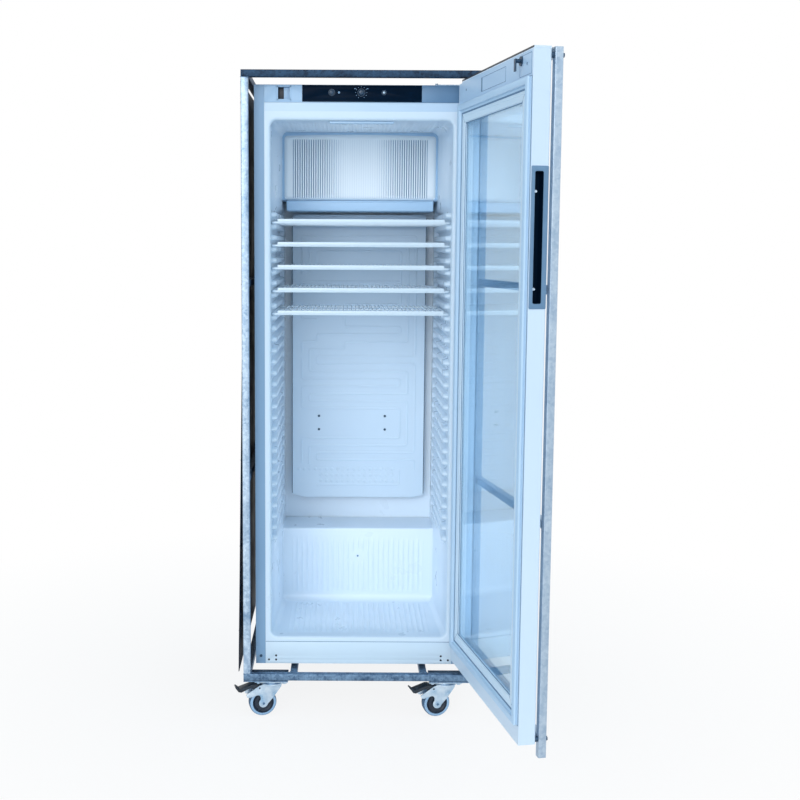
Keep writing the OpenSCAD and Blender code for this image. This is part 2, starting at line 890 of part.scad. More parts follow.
comp_x = half_w - 210;
comp_y = cab_d - 88;
grommet_h = 14;
comp_base = floor_t + grommet_h;
function compressor_feet() = [
    [comp_x - 80, comp_y - 50], [comp_x + 80, comp_y - 50],
    [comp_x - 80, comp_y + 50], [comp_x + 80, comp_y + 50]];

// Hermetic compressor: welded steel pot on a foot plate
module compressor() {
    color("#202830")
        at_cabinet() {
            translate([comp_x, comp_y, comp_base]) {
                difference() {
                    translate([-95, -62, 0]) cube([190, 124, 3]);
                    for (p = compressor_feet())
                        translate([p[0] - comp_x, p[1] - comp_y, -1]) cylinder(h = 5, r = 3);
                }
                translate([0, 0, 2]) cylinder(h = 78, r = 70);
                translate([0, 0, 76]) cylinder(h = 8, r = 73);
                translate([0, 0, 84])
                    intersection() {
                        cylinder(h = 60, r = 70);
                        translate([0, 0, -40]) sphere(r = 84);
                    }
            }
            span([comp_x - 105, comp_y - 30, comp_base + 30],
                 [comp_x - 60, comp_y + 30, comp_base + 80]);
        }
}

// Wire-on-tube condenser on the back
condenser_x = half_w - 70;
condenser_low = hump_top + 11;
condenser_pitch = 90;
condenser_rows = 1 + floor((cab_h - 160 - condenser_low) / condenser_pitch);
cond_r = 2.5;
cond_y = cab_d + 12;
wire_r = 0.9;
wire_half = 8;
clip_x = 120;
module condenser() {
    high = condenser_low + (condenser_rows - 1) * condenser_pitch;
    turn = condenser_pitch / 2;
    x = condenser_x - turn;
    color("#1d262e")
        at_cabinet() {
            for (i = [0:condenser_rows - 1])
                bar_x([-x, cond_y, condenser_low + i * condenser_pitch], 2 * x, cond_r);
            for (i = [0:condenser_rows - 2])
                mirror([i % 2, 0, 0])
                    translate([x, cond_y, condenser_low + (i + 0.5) * condenser_pitch])
                        rotate([90, 0, 0]) rotate([0, 0, -90])
                            rotate_extrude(angle = 180) translate([turn, 0]) circle(cond_r);
            for (k = [-wire_half:wire_half])
                translate([k * x / wire_half, cond_y + cond_r + wire_r + 0.05, condenser_low - 15])
                    cylinder(h = high - condenser_low + 30, r = wire_r);
            for (z = [condenser_low, high], side = [-1, 1])
                span([side * clip_x - 7, cab_d, z - 7], [side * clip_x + 7, cond_y + 1, z + 7]);
        }
}

// Copper pipes from the compressor, with the filter drier
pipe_y = comp_y + 66;
pipe_x = -60;
pipe_low = 30;
drier_low = 60;
drier_high = 190;
drier_r = 9;
pipe_r = 3;
suction_r = 4;
suction_low = 120;
module refrigerant_pipes() {
    color("peru")
        at_cabinet() {
            translate([pipe_x, pipe_y, drier_low]) cylinder(h = drier_high - drier_low, r = drier_r);
            translate([pipe_x, pipe_y, drier_high]) cylinder(h = bay_top - 2 - gap - drier_high, r = pipe_r);
            translate([pipe_x, pipe_y, pipe_low]) cylinder(h = drier_low - pipe_low, r = pipe_r);
            bar_x([pipe_x, pipe_y, pipe_low], comp_x - 40 - pipe_x, pipe_r);
            translate([comp_x - 40, pipe_y, pipe_low - pipe_r]) cylinder(h = 40, r = pipe_r);
            bar_y([comp_x - 40, comp_y + 62, comp_base + 48.5], pipe_y - comp_y - 62, pipe_r);
            translate([comp_x + 40, pipe_y, suction_low])
                cylinder(h = bay_top - 2 - gap - suction_low, r = suction_r);
            bar_y([comp_x + 40, comp_y + 50, suction_low + suction_r], pipe_y - comp_y - 50, suction_r);
        }
}

// Evaporation tray over the bay's floor and the hose from the drain
pan_x = [-half_w + 40, -half_w + 200];
pan_t = 3;
pan_high = 50;
hose_y = bay_y + 14;
hose_low = 66;
hose_out = 22;
module drain_parts() {
    low = [pan_x[0], bay_y + 20, floor_t];
    high = [pan_x[1], cab_d - 12, pan_high];
    end_x = pan_x[1] - 30;
    color("#2b3338")
        at_cabinet() {
            difference() {
                span(low, high);
                span(low + [pan_t, pan_t, pan_t], high - [pan_t, pan_t, -1]);
            }
            difference() {
                union() {
                    bar_y([0, hump_y + liner_t, drain_z], hose_y - hump_y, drain_r);
                    translate([0, hose_y, hose_low - 6]) cylinder(h = drain_z - hose_low + 6, r = drain_r);
                    bar_x([end_x, hose_y + hose_out, hose_low], -end_x, drain_r - 1);
                    bar_y([0, hose_y, hose_low], hose_out, drain_r - 1);
                }
                bar_y([0, hump_y, drain_z], hose_y - hump_y, drain_r - 2);
            }
        }
}

// Mains inlet box on the bay's rear edge
inlet_x = half_w - 110;
inlet_w = 60;
inlet_h = 70;
module power_inlet() {
    color("#20262b")
        at_cabinet()
            difference() {
                span([inlet_x, cab_d - 46, floor_t], [inlet_x + inlet_w, cab_d - 4, inlet_h]);
                span([inlet_x + 13, cab_d - 20, 22], [inlet_x + inlet_w - 13, cab_d - 3, inlet_h - 24]);
            }
}

// Door hinges

pin_top_low = door_high - 24;
pin_low_high = door_low + 20;
notch_z = cab_h - 0.6;
bracket_t = 3;
bracket_r = 12;
stay_x = 75;
stay_y = 30;

// Top bracket and bottom bracket with their pins, and the wire stay of the closer on the top
module door_hinges() {
    low_z = door_low - gap - bracket_t;
    color("slategray")
        at_cabinet() {
            span([hinge_x - bracket_r, hinge_y, cab_h], [hinge_x + bracket_r, 60, cab_h + bracket_t]);
            translate([hinge_x, hinge_y, cab_h]) cylinder(h = bracket_t, r = bracket_r);
            translate([hinge_x, hinge_y, pin_top_low])
                cylinder(h = cab_h + bracket_t - pin_top_low + 2, r = pin_dia / 2);
            span([hinge_x - bracket_r, hinge_y, low_z], [hinge_x + bracket_r, -bracket_t, low_z + bracket_t]);
            translate([hinge_x, hinge_y, low_z]) cylinder(h = bracket_t, r = bracket_r);
            translate([hinge_x, hinge_y, low_z - 2]) cylinder(h = pin_low_high - low_z, r = pin_dia / 2);
            difference() {
                span([hinge_x - bracket_r, -bracket_t, 2], [hinge_x + bracket_r, 0, low_z + bracket_t]);
                for (s = [-6, 6])
                    bar_y([hinge_x + s, -bracket_t - 1, 8], bracket_t + 2, 2.2);
            }
            bar_x([hinge_x - stay_x, stay_y, cab_h + 4], stay_x - 9, 2);
            translate([hinge_x - stay_x - 3, stay_y, cab_h]) cylinder(h = 8, r = 4.5);
        }
}

// Door, drawn closed

// Section of one hollow rail, open towards the glass
module rail_body(z0, z1, open_low) {
    t = profile_t;
    difference() {
        rounded_slab(z0, z1);
        span([free_x + t, door_out + t, open_low ? z0 - 1 : z0 + t],
             [half_w - t, door_in - t, open_low ? z1 - t : z1 + 1]);
    }
}

// Door slab with its two outer vertical edges rounded
edge_r = 5;
module rounded_slab(z0, z1) {
    translate([0, 0, z0]) linear_extrude(z1 - z0) {
        translate([free_x, door_out + edge_r]) square([half_w - free_x, door_t - edge_r]);
        translate([free_x + edge_r, door_out]) square([half_w - free_x - 2 * edge_r, edge_r + 1]);
        for (x = [free_x + edge_r, half_w - edge_r])
            translate([x, door_out + edge_r]) circle(edge_r);
    }
}

// Solid boss round a hinge pin, kept inside the door's skin
module hinge_boss(z0, z1) {
    intersection() {
        translate([hinge_x, hinge_y, z0]) cylinder(h = z1 - z0, r = hinge_in - 0.5);
        span([0, door_out + 1, z0], [half_w - 0.4, door_in - 1, z1]);
    }
}

// Notch in the door's top corner for the top bracket
module hinge_cut() {
    span([hinge_x - bracket_r - 2, door_out - 1, notch_z],
         [half_w + 1, door_in + 1, door_high + cap_t + 1]);
}

// Places a piece on the lock's axis, with +Z towards the cabinet
module lock_place() {
    translate([(strike_x[0] + strike_x[1]) / 2, door_in, lock_z]) rotate([-90, 0, 0]) children();
}
lock_z = cab_h - 15;
lock_r = 8;

// Holes for the gate's bolts through the door's outer wall
module gate_holes(z) {
    for (x = fix_x)
        bar_y([x, door_out - 1, z], profile_t + 2, bolt_r + gap / 2);
}

// Hollow rails and stiles, bored for the hinge pins, the lock and the gate's bolts
module door_frame() {
    t = profile_t;
    color("aliceblue")
        at_door() {
            difference() {
                union() {
                    rail_body(light_high, door_high, true);
                    hinge_boss(pin_top_low - 6, door_high - t);
                }
                hinge_cut();
                gate_holes(fix_z[0]);
                translate([hinge_x, hinge_y, pin_top_low - 0.5]) cylinder(h = 60, r = bore_r);
                lock_place() translate([0, 0, -t - 1]) cylinder(h = t + 2, r = lock_r + pin_play);
            }
            difference() {
                span([hinge_x - bracket_r - 4, door_out + t, notch_z - t],
                     [half_w - t, door_in - t, notch_z]);
                translate([hinge_x, hinge_y, pin_top_low]) cylinder(h = 60, r = bore_r + 9);
            }
            difference() {
                union() {
                    rail_body(door_low, light_low, false);
                    hinge_boss(door_low, pin_low_high + 6);
                }
                gate_holes(fix_z[1]);
                translate([hinge_x, hinge_y, door_low - 1])
                    cylinder(h = pin_low_high - door_low + 1.5, r = bore_r);
            }
            stile(1);
        }
}

// One hollow stile between the rails, at the free side (0) or the hinge side (1)
module stile(side) {
    t = profile_t;
    x = side == 0 ? free_x : half_w - stile_w;
    difference() {
        intersection() {
            rounded_slab(light_low + 0.1, light_high - 0.1);
            span([x, door_out, 0], [x + stile_w, door_in, cab_h]);
        }
        span([x + t, door_out + t, 0], [x + stile_w - t, door_in - t, cab_h]);
    }
}

// Stile of the free side, with the opening for the grip in its outer wall
grip_in = 4;
module door_free_stile() {
    hx = handle_len / 2;
    color("aliceblue")
        at_door()
            difference() {
                stile(0);
                span([free_x - 1, door_out + grip_in, handle_z - hx],
                     [free_x + profile_t + 1, door_in - grip_in, handle_z + hx]);
            }
}

// Black cap along the top of the door
module door_top_cap() {
    color("#141c24")
        at_door()
            difference() {
                rounded_slab(door_high + gap, door_high + cap_t);
                hinge_cut();
            }
}

// Window of the mitred frame, in x and z
bead_t = 3;
module bead_window(x0, x1, z0, z1) {
    translate([x0 + bead_w, z0 + bead_w]) square([x1 - x0 - 2 * bead_w, z1 - z0 - 2 * bead_w]);
}

// Mitred frame inside the gasket that holds the glass
module door_inner_frame() {
    inset = gasket_w + gap;
    x0 = gasket_x0 + inset;
    x1 = gasket_x1 - inset;
    z0 = gasket_z0 + inset;
    z1 = gasket_z1 - inset;
    wx = free_x + stile_w + gap;
    wz = light_low + gap;
    color("aliceblue")
        at_door() {
            translate([0, door_in + gap, 0]) push_back(bead_t)
                difference() {
                    translate([x0, z0]) square([x1 - x0, z1 - z0]);
                    bead_window(x0, x1, z0, z1);
                }
            translate([0, door_in - profile_t, 0]) push_back(profile_t + gap + 1)
                difference() {
                    translate([wx, wz]) square([half_w - stile_w - gap - wx, light_high - gap - wz]);
                    bead_window(x0, x1, z0, z1);
                }
        }
}

// Two panes whose upper and lower edges stand inside the rails
glass_x0 = free_x + stile_w + gap;
glass_x1 = half_w - stile_w - gap;
glass_lap = 12;
glass_z0 = light_low - glass_lap;
glass_z1 = light_high + glass_lap;
pane_in = door_in - profile_t - gap;
module door_glass() {
    color([0.75, 0.88, 0.95, 0.35])
        at_door()
            for (y = [pane_in - glass_t, pane_in - 2 * glass_t - glass_space])
                span([glass_x0, y, glass_z0], [glass_x1, y + glass_t, glass_z1]);
}

// Spacer frame between the panes, set in from their edges
spacer_in = 4;
spacer_w = 10;
module spacer_area(inset) {
    translate([glass_x0 + inset, glass_z0 + inset])
        square([glass_x1 - glass_x0 - 2 * inset, glass_z1 - glass_z0 - 2 * inset]);
}
module glass_spacer() {
    color("lightgray")
        at_door()
            translate([0, pane_in - glass_t - glass_space + gap / 2, 0]) push_back(glass_space - gap)
                difference() {
                    spacer_area(spacer_in);
                    spacer_area(spacer_in + spacer_w);
                }
}

// Magnetic gasket round the compartment's flange
gasket_x0 = free_x + 6;
gasket_x1 = hinge_x - 7;
gasket_z0 = kick_h + 3;
gasket_z1 = fascia_low - 10;
module door_gasket() {
    color("lightsteelblue")
        at_door()
            translate([0, door_in + gap, 0]) push_back(door_gap - 2 * gap)
                difference() {
                    translate([gasket_x0, gasket_z0]) square([gasket_x1 - gasket_x0, gasket_z1 - gasket_z0]);
                    translate([gasket_x0 + gasket_w, gasket_z0 + gasket_w])
                        square([gasket_x1 - gasket_x0 - 2 * gasket_w, gasket_z1 - gasket_z0 - 2 * gasket_w]);
                }
}

// Recessed grip let into the free edge
module handle_insert() {
    hx = handle_len / 2 - gap;
    y0 = door_out + grip_in + gap;
    y1 = door_in - grip_in - gap;
    color("slategray")
        at_door()
            difference() {
                union() {
                    span([free_x, y0, handle_z - hx], [free_x + 26, y1, handle_z + hx]);
                    span([free_x - 1.5, y0 - 3, handle_z - hx - 3],
                         [free_x - 0.05, y1 + 3, handle_z + hx + 3]);
                    span([free_x - 0.1, y0, handle_z - hx], [free_x + 0.1, y1, handle_z + hx]);
                }
                span([free_x - 2, y0 + 7, handle_z - hx + 9], [free_x + 23, y1 - 9, handle_z + hx - 9]);
            }
}

// Cam lock in the top rail: turning barrel whose cam reaches behind the fascia's lip
lock_len = 30;
cam_len = 24;
cam_t = 2.5;
cam_y = fascia_t + 0.6 - door_in;
module door_lock() {
    color("slategray")
        at_door()
            lock_place() {
                translate([0, 0, -lock_len]) cylinder(h = lock_len + 1, r = lock_r);
                translate([0, 0, gap]) cylinder(h = 3, r = lock_r + 3);
                cylinder(h = cam_y + cam_t, r = 5);
                translate([-6, -5, cam_y]) cube([12, cam_len + 5, cam_t]);
            }
}

// Gate of square tube carried in front of the door

gate_x0 = free_x;
gate_x1 = hinge_x - 7;
gate_low = door_low - 36;
gate_hinge_low = door_low - 27;
gate_high = cab_h + 8;
gate_foot = door_low - 2;
bolt_r = 3;
bolt_out = 4.5;
fix_x = [gate_x0 + tube / 2, gate_x1 - tube / 2];
fix_z = [gate_high - 18, gate_foot + 11];
module gate_frame() {
    bar = gate_x1 - gate_x0 - 2 * tube;
    color("lightsteelblue")
        at_door()
            difference() {
                union() {
                    tube_z([gate_x0, gate_out, gate_low], gate_high - gate_low);
                    tube_z([gate_x1 - tube, gate_out, gate_hinge_low], gate_high - gate_hinge_low);
                    for (z = [gate_high - tube, gate_bar_high, gate_bar_low, gate_foot])
                        tube_x([gate_x0 + tube, gate_out, z], bar);
                }
                for (x = fix_x, z = fix_z)
                    bar_y([x, gate_out - 1, z], tube + 2, bolt_r + gap / 2);
            }
}

// Spacers and bolts that hold the gate to the door
module gate_fixings() {
    color("dimgray")
        at_door()
            for (x = fix_x, z = fix_z) {
                bar_y([x, gate_in + gap, z], gate_gap - 2 * gap, 7);
                bar_y([x, gate_out - bolt_out, z], bolt_out + tube + gate_gap + profile_t + 4, bolt_r);
                bar_y([x, gate_out - bolt_out, z], bolt_out - gap, 5.5);
                bar_y([x, door_out + profile_t + gap, z], 3, 5.5);
            }
}

// Casters

bolt_hole_r = 4.3;
function caster_holes() = [for (x = [-38, 38], y = [-21, 21]) [x, y]];
top_plate_t = 3;
head_z = caster_h - top_plate_t;

// Fixed part of the casters: drilled plates with the bearing cup, and the four bolts of each
module caster_plates() {
    color("gainsboro")
        for (p = caster_places())
            translate([p[0], p[1], 0]) {
                difference() {
                    translate([-48, -30, head_z]) cube([96, 60, top_plate_t]);
                    translate([0, 0, head_z - 1]) cylinder(h = top_plate_t + 2, r = king_r + pin_play);
                    for (q = caster_holes())
                        translate([q[0], q[1], head_z - 1]) cylinder(h = top_plate_t + 2, r = 4.1);
                }
                difference() {
                    translate([0, 0, head_z - 5]) cylinder(h = 5, r = 26);
                    translate([0, 0, head_z - 6]) cylinder(h = 7, r = 20);
                }
                for (q = caster_holes())
                    translate([q[0], q[1], 0]) {
                        translate([0, 0, head_z - 5]) cylinder(h = 5, r = 6.5, $fn = 6);
                        translate([0, 0, head_z - 1]) cylinder(h = top_plate_t + corner_t + 5, r = 4);
                    }
            }
}

wheel_r = wheel_dia / 2;
king_r = 6;
leg_t = 2.5;
leg_y = wheel_w / 2 + 1.5;
fork_top = head_z - 5.5;
fork_head_r = 34;
axle_r = 4;

// Places a piece of the swivelling half of the caster at p, given with its wheel trailing towards -x
module at_caster(p) {
    translate([p[0], p[1], 0]) rotate([0, 0, caster_turn]) children();
}

// Swivel fork with its king pin and axle, and with a tail where it carries a brake
module fork(p, braked) {
    ax = -caster_trail;
    tail = [[ax - 16, wheel_r + 25], [ax - 41, wheel_r + 19], [ax - 48, wheel_r + 21],
            [ax - 51, wheel_r + 28]];
    back = [[ax - 16, wheel_r + 30]];
    color("gainsboro")
        at_caster(p) {
            translate([0, 0, fork_top - 3]) cylinder(h = 3, r = fork_head_r);
            translate([0, 0, fork_top - 1]) cylinder(h = head_z + 2 - fork_top, r = king_r);
            translate([0, 0, fork_top - 1]) cylinder(h = 5, r = 17);
            for (s = [0, 1])
                mirror([0, s, 0])
                    translate([0, leg_y, 0]) push_back(leg_t)
                        difference() {
                            union() {
                                polygon(concat(
                                    [[fork_head_r - 7, fork_top], [fork_head_r - 10, fork_top - 12],
                                     [ax + 30, wheel_r + 16], [ax + 8, wheel_r - 8], [ax - 11, wheel_r - 6],
                                     [ax - 8, wheel_r + 17], [ax - 11, wheel_r + 23]],
                                    braked ? tail : back,
                                    [[ax - 12, fork_top - 6], [ax + 10, fork_top]]));
                                translate([ax, wheel_r]) circle(13);
                            }
                            translate([ax, wheel_r]) circle(axle_r);
                            if (braked)
                                translate([brake_x, brake_z]) circle(brake_pin_r + pin_play);
                        }
            axle();
        }
}

module axle() {
    len = 2 * (leg_y + leg_t);
    translate([-caster_trail, 0, wheel_r]) {
        bar_y([0, -len / 2, 0], len, axle_r);
        bar_y([0, -len / 2 - 3, 0], 3.2, 7);
        bar_y([0, len / 2 - 0.2, 0], 4, 7);
    }
}

// Wheel with a rounded tread and a bored hub
module wheel(p) {
    rim_r = wheel_r - 13;
    hub_r = 12;
    color("#20303c")
        at_caster(p)
            translate([-caster_trail, 0, wheel_r]) rotate([90, 0, 0])
                rotate_extrude($fn = 96)
                    polygon(concat(
                        [[axle_r + pin_play, -wheel_w / 2 - 1], [hub_r, -wheel_w / 2 - 1],
                         [hub_r + 2, -wheel_w / 2 + 4], [rim_r - 2, -wheel_w / 2 + 4], [rim_r, -wheel_w / 2]],
                        [for (a = [-80:20:80]) [wheel_r - 5 + 5 * cos(a), wheel_w / 2 * sin(a)]],
                        [[rim_r, wheel_w / 2], [rim_r - 2, wheel_w / 2 - 4], [hub_r + 2, wheel_w / 2 - 4],
                         [hub_r, wheel_w / 2 + 1], [axle_r + pin_play, wheel_w / 2 + 1]]));
}

// Brake lever on a pin through the fork's legs, with its pedal turned up at the tip
brake_x = -caster_trail - 11;
brake_z = wheel_r + 45.5;
brake_pin_r = 2.5;
lever_t = 2.2;
module lever_outline() {
    polygon([
        [brake_x + 5, brake_z - 3], [brake_x + 5, brake_z + 4], [brake_x - 12, brake_z + 11],
        [brake_x - 20, brake_z + 11], [-lever_reach + 12, brake_z - 1], [-lever_reach + 3, brake_z + 6],
        [-lever_reach, brake_z + 4], [-lever_reach + 9, brake_z - 8], [-lever_reach + 17, brake_z - 10],
        [brake_x - 24, brake_z + 2], [brake_x - 18, brake_z - 4], [brake_x - 15, brake_z - 10],
        [brake_x - 8, brake_z - 5]]);
}
module brake(p) {
    half = leg_y - 1;
    color("#1a242c")
        at_caster(p) {
            bar_y([brake_x, -leg_y - leg_t, brake_z], 2 * (leg_y + leg_t), brake_pin_r);
            difference() {
                translate([0, -half, 0]) push_back(2 * half) lever_outline();
                translate([0, -half + lever_t, -lever_t]) push_back(2 * half - 2 * lever_t) lever_outline();
            }
        }
}

module front_left_fork() { fork(caster_places()[0], true); }
module front_left_wheel() { wheel(caster_places()[0]); }
module front_left_brake() { brake(caster_places()[0]); }
module front_right_fork() { fork(caster_places()[1], true); }
module front_right_wheel() { wheel(caster_places()[1]); }
module front_right_brake() { brake(caster_places()[1]); }
module rear_left_fork() { fork(caster_places()[2], false); }
module rear_left_wheel() { wheel(caster_places()[2]); }
module rear_right_fork() { fork(caster_places()[3], false); }
module rear_right_wheel() { wheel(caster_places()[3]); }

cage_base_frame();
cage_corner_plates();
cage_posts();
cage_top_frame();
cage_side_bars();
side_sheets();
rubber_feet();
side_panels();
top_panel();
back_panel();
base_panel();
inner_liner();
insulation();
kick_panel();
fascia();
control_strip();
ceiling_lamp();
evaporator_cover();
drip_tray();
fan_motor();
evaporator_plate();
screws();
door_hinges();
compressor();
condenser();
refrigerant_pipes();
drain_parts();
power_inlet();
caster_plates();
thermostat_dial();
key_switch();
lamp_switch();
fan_rotor();
shelf_1();
shelf_2();
shelf_3();
shelf_4();
shelf_5();
front_left_fork();
front_left_wheel();
front_left_brake();
front_right_fork();
front_right_wheel();
front_right_brake();
rear_left_fork();
rear_left_wheel();
rear_right_fork();
rear_right_wheel();
door_frame();
door_free_stile();
door_top_cap();
door_inner_frame();
door_glass();
glass_spacer();
door_gasket();
handle_insert();
door_lock();
gate_frame();
gate_fixings();
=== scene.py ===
# An upright refrigerator with a glass door, in a wheeled cage of square steel tube.
# The door stands open with a tube gate bolted to its front.
import json
from math import copysign, cos, hypot, pi, radians, sin, sqrt

import bmesh
import bpy
from mathutils import Matrix, Vector


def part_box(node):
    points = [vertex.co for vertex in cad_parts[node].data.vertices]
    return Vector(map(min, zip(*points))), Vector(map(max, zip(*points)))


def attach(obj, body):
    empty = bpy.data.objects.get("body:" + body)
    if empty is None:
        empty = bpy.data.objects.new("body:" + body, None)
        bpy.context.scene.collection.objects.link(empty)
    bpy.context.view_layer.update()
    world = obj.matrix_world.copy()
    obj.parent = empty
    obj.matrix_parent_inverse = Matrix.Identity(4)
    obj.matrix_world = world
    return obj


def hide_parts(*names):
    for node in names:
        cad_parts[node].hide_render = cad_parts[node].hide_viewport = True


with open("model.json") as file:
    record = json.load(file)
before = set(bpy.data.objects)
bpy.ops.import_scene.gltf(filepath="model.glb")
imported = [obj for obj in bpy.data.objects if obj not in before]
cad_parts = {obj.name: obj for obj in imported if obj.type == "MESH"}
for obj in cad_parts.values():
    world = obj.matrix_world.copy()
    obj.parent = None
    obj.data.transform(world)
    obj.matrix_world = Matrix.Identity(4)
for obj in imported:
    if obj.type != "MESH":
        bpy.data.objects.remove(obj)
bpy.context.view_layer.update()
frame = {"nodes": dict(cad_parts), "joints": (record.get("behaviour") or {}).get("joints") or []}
scene = bpy.context.scene

# The camera stands in front of the cage, a little left of its middle and above the compartment's middle.
# It looks slightly down, and its lens is shifted as the picture is framed off its axis.
PICTURE = 800
SENSOR = 36
EYE = Vector((-0.04156, -3.56218, 1.35975))
LOOK_DOWN = radians(6.408)
ROLL = radians(0.289)
FOCAL_PX = 1163.67
AXIS_PX = Vector((345.65, 376.26))

camera = bpy.data.objects.new("camera", bpy.data.cameras.new("camera"))
scene.collection.objects.link(camera)
camera.matrix_world = (Matrix.Translation(EYE) @ Matrix.Rotation(pi / 2 - LOOK_DOWN, 4, "X")
                       @ Matrix.Rotation(ROLL, 4, "Z"))
camera.data.sensor_width = SENSOR
camera.data.lens = SENSOR * FOCAL_PX / PICTURE
camera.data.shift_x = 0.5 - AXIS_PX.x / PICTURE
camera.data.shift_y = AXIS_PX.y / PICTURE - 0.5
camera.data.clip_end = 60
scene.camera = camera
scene.view_settings.view_transform = "Standard"


# The studio: a pale floor without an edge, a white world behind it, and two broad soft lamps.
# Camera, mirror and glass rays meet the white world, and the object is lit by a plainer one.
class Wire:
    """One output of a shader node. Sums, differences and products of it add Math nodes."""

    def __init__(self, nodes, socket):
        self.nodes = nodes
        self.socket = socket

    def math(self, operation, other=0.0):
        return self.nodes.add("Math", {0: self, 1: other}, operation=operation)

    def __add__(self, other):
        return self.math("ADD", other)

    def __sub__(self, other):
        return self.math("SUBTRACT", other)

    def __mul__(self, other):
        return self.math("MULTIPLY", other)

    def __rsub__(self, other):
        return self.nodes.add("Math", {0: other, 1: self}, operation="SUBTRACT")


class Nodes:
    """A node tree that starts empty, and one method that adds any node to it."""

    def __init__(self, tree):
        self.tree = tree
        tree.nodes.clear()

    def add(self, kind, sockets=None, out=0, **settings):
        node = self.tree.nodes.new("ShaderNode" + kind)
        for name, value in settings.items():
            if name == "stops":
                ramp = node.color_ramp.elements
                while len(ramp) < len(value):
                    ramp.new(1)
                for stop, (place, colour) in zip(ramp, value):
                    stop.position = place
                    stop.color = colour
            else:
                setattr(node, name, value)
        for name, value in (sockets or {}).items():
            if isinstance(value, Wire):
                self.tree.links.new(value.socket, node.inputs[name])
            else:
                node.inputs[name].default_value = value
        return Wire(self, node.outputs[out]) if node.outputs else None

    def looked_at(self):
        """1 for rays from the camera, a mirror or glass, and 0 for those that only carry light."""
        rays = ("Is Camera Ray", "Is Glossy Ray", "Is Transmission Ray")
        seen, mirrored, passed = (self.add("LightPath", out=ray) for ray in rays)
        return (seen + mirrored + passed).math("MINIMUM", 1)


def tone(red, green, blue):
    """A colour as it looks on a screen, 0 to 255, made linear."""
    def linear(value):
        value /= 255
        return value / 12.92 if value < 0.04045 else ((value + 0.055) / 1.055) ** 2.4
    return linear(red), linear(green), linear(blue), 1.0


class Finish(Nodes):
    """A material, with its patterns read from the object's own coordinates in metres."""

    def __init__(self, name, slot=None):
        self.material = bpy.data.materials.new(name)
        self.material.use_nodes = True
        self.slot = slot
        super().__init__(self.material.node_tree)
        self.spot = self.add("TexCoord", out="Object")

    def along(self, axis):
        return self.add("SeparateXYZ", {0: self.spot}, out=axis)

    def stretched(self, x, y, z):
        return self.add("Mapping", {"Vector": self.spot, "Scale": (x, y, z)})

    def noise(self, scale, detail=3.0, where=None, rough=0.5):
        return self.add("TexNoise", {"Vector": where or self.spot, "Scale": scale, "Detail": detail,
                                     "Roughness": rough}, out="Fac")

    def ramp(self, value, *stops):
        return self.add("ValToRGB", {0: value}, stops=stops)

    def band(self, value, low, high, bottom=0.0, top=1.0):
        limits = {"From Min": low, "From Max": high, "To Min": bottom, "To Max": top}
        return self.add("MapRange", {"Value": value, **limits}, clamp=True)

    def mix(self, share, one, two):
        return self.add("Mix", {"Factor": share, 6: one, 7: two}, 2, data_type="RGBA")

    def bump(self, height, depth, strength=1.0):
        return self.add("Bump", {"Height": height, "Distance": depth, "Strength": strength})

    def surface(self, **sockets):
        named = {name.replace("_", " "): value for name, value in sockets.items()}
        shader = self.add("BsdfPrincipled", named)
        self.add("OutputMaterial", {0: shader})
        return self


FLOOR_REACH = 25
FILL_TONE = (0.66, 0.85, 1.0, 1)
FILL_STRENGTH = 0.66
KEY_STRENGTH = 1.12
SIDE_STRENGTH = 0.55

world = bpy.data.worlds.new("studio")
world.use_nodes = True
scene.world = world
sky = Nodes(world.node_tree)
plain = sky.add("Background", {"Color": FILL_TONE, "Strength": FILL_STRENGTH})
white = sky.add("Background", {"Color": (1, 1, 1, 1), "Strength": 1})
both = sky.add("MixShader", {0: sky.looked_at(), 1: plain, 2: white})
sky.add("OutputWorld", {0: both})

floor_mesh = bmesh.new()
bmesh.ops.create_grid(floor_mesh, x_segments=1, y_segments=1, size=FLOOR_REACH)
floor_data = bpy.data.meshes.new("floor")
floor_mesh.to_mesh(floor_data)
floor_mesh.free()
floor = bpy.data.objects.new("floor", floor_data)
scene.collection.objects.link(floor)
studio_floor = Finish("studio floor")
floor_tone = studio_floor.mix(studio_floor.noise(0.7), tone(250, 251, 252), tone(246, 248, 250))
lit_floor = studio_floor.add("BsdfDiffuse", {"Color": floor_tone})
white_floor = studio_floor.add("Emission", {"Color": (1, 1, 1, 1), "Strength": 1})
from_middle = studio_floor.add("VectorMath", {0: studio_floor.spot}, out=1, operation="LENGTH")
whiteness = studio_floor.band(from_middle, 0.5, 2.0, 0.86, 1)
shown = studio_floor.looked_at() * whiteness
floor_mix = studio_floor.add("MixShader", {0: shown, 1: lit_floor, 2: white_floor})
studio_floor.add("OutputMaterial", {0: floor_mix})
floor_data.materials.append(studio_floor.material)


def shine(name, kind, energy, colour, turned, **settings):
    """Adds a lamp."""
    light = bpy.data.lights.new(name, kind)
    for key, value in {"energy": energy, "color": colour, **settings}.items():
        setattr(light, key, value)
    lamp = bpy.data.objects.new(name, light)
    lamp.rotation_euler = turned
    scene.collection.objects.link(lamp)
    return lamp


for name, towards, strength, width, colour in (
        ("key lamp", (-0.28, -0.9, 0.3), KEY_STRENGTH, 36, (1, 1, 1)),
        ("side lamp", (0.75, -0.5, 0.55), SIDE_STRENGTH, 60, (0.94, 0.97, 1))):
    turned = Vector(towards).to_track_quat("Z", "Y").to_euler()
    shine(name, "SUN", strength, colour, turned, angle=radians(width))

# A soft panel of light just inside the compartment's mouth shines at its back.
panel = shine("compartment lamp", "AREA", 0.7, (1, 0.92, 0.88), (pi / 2, 0, 0),
              shape="RECTANGLE", size=0.44, size_y=1.4)
panel.location = (0, -0.2, 0.965)

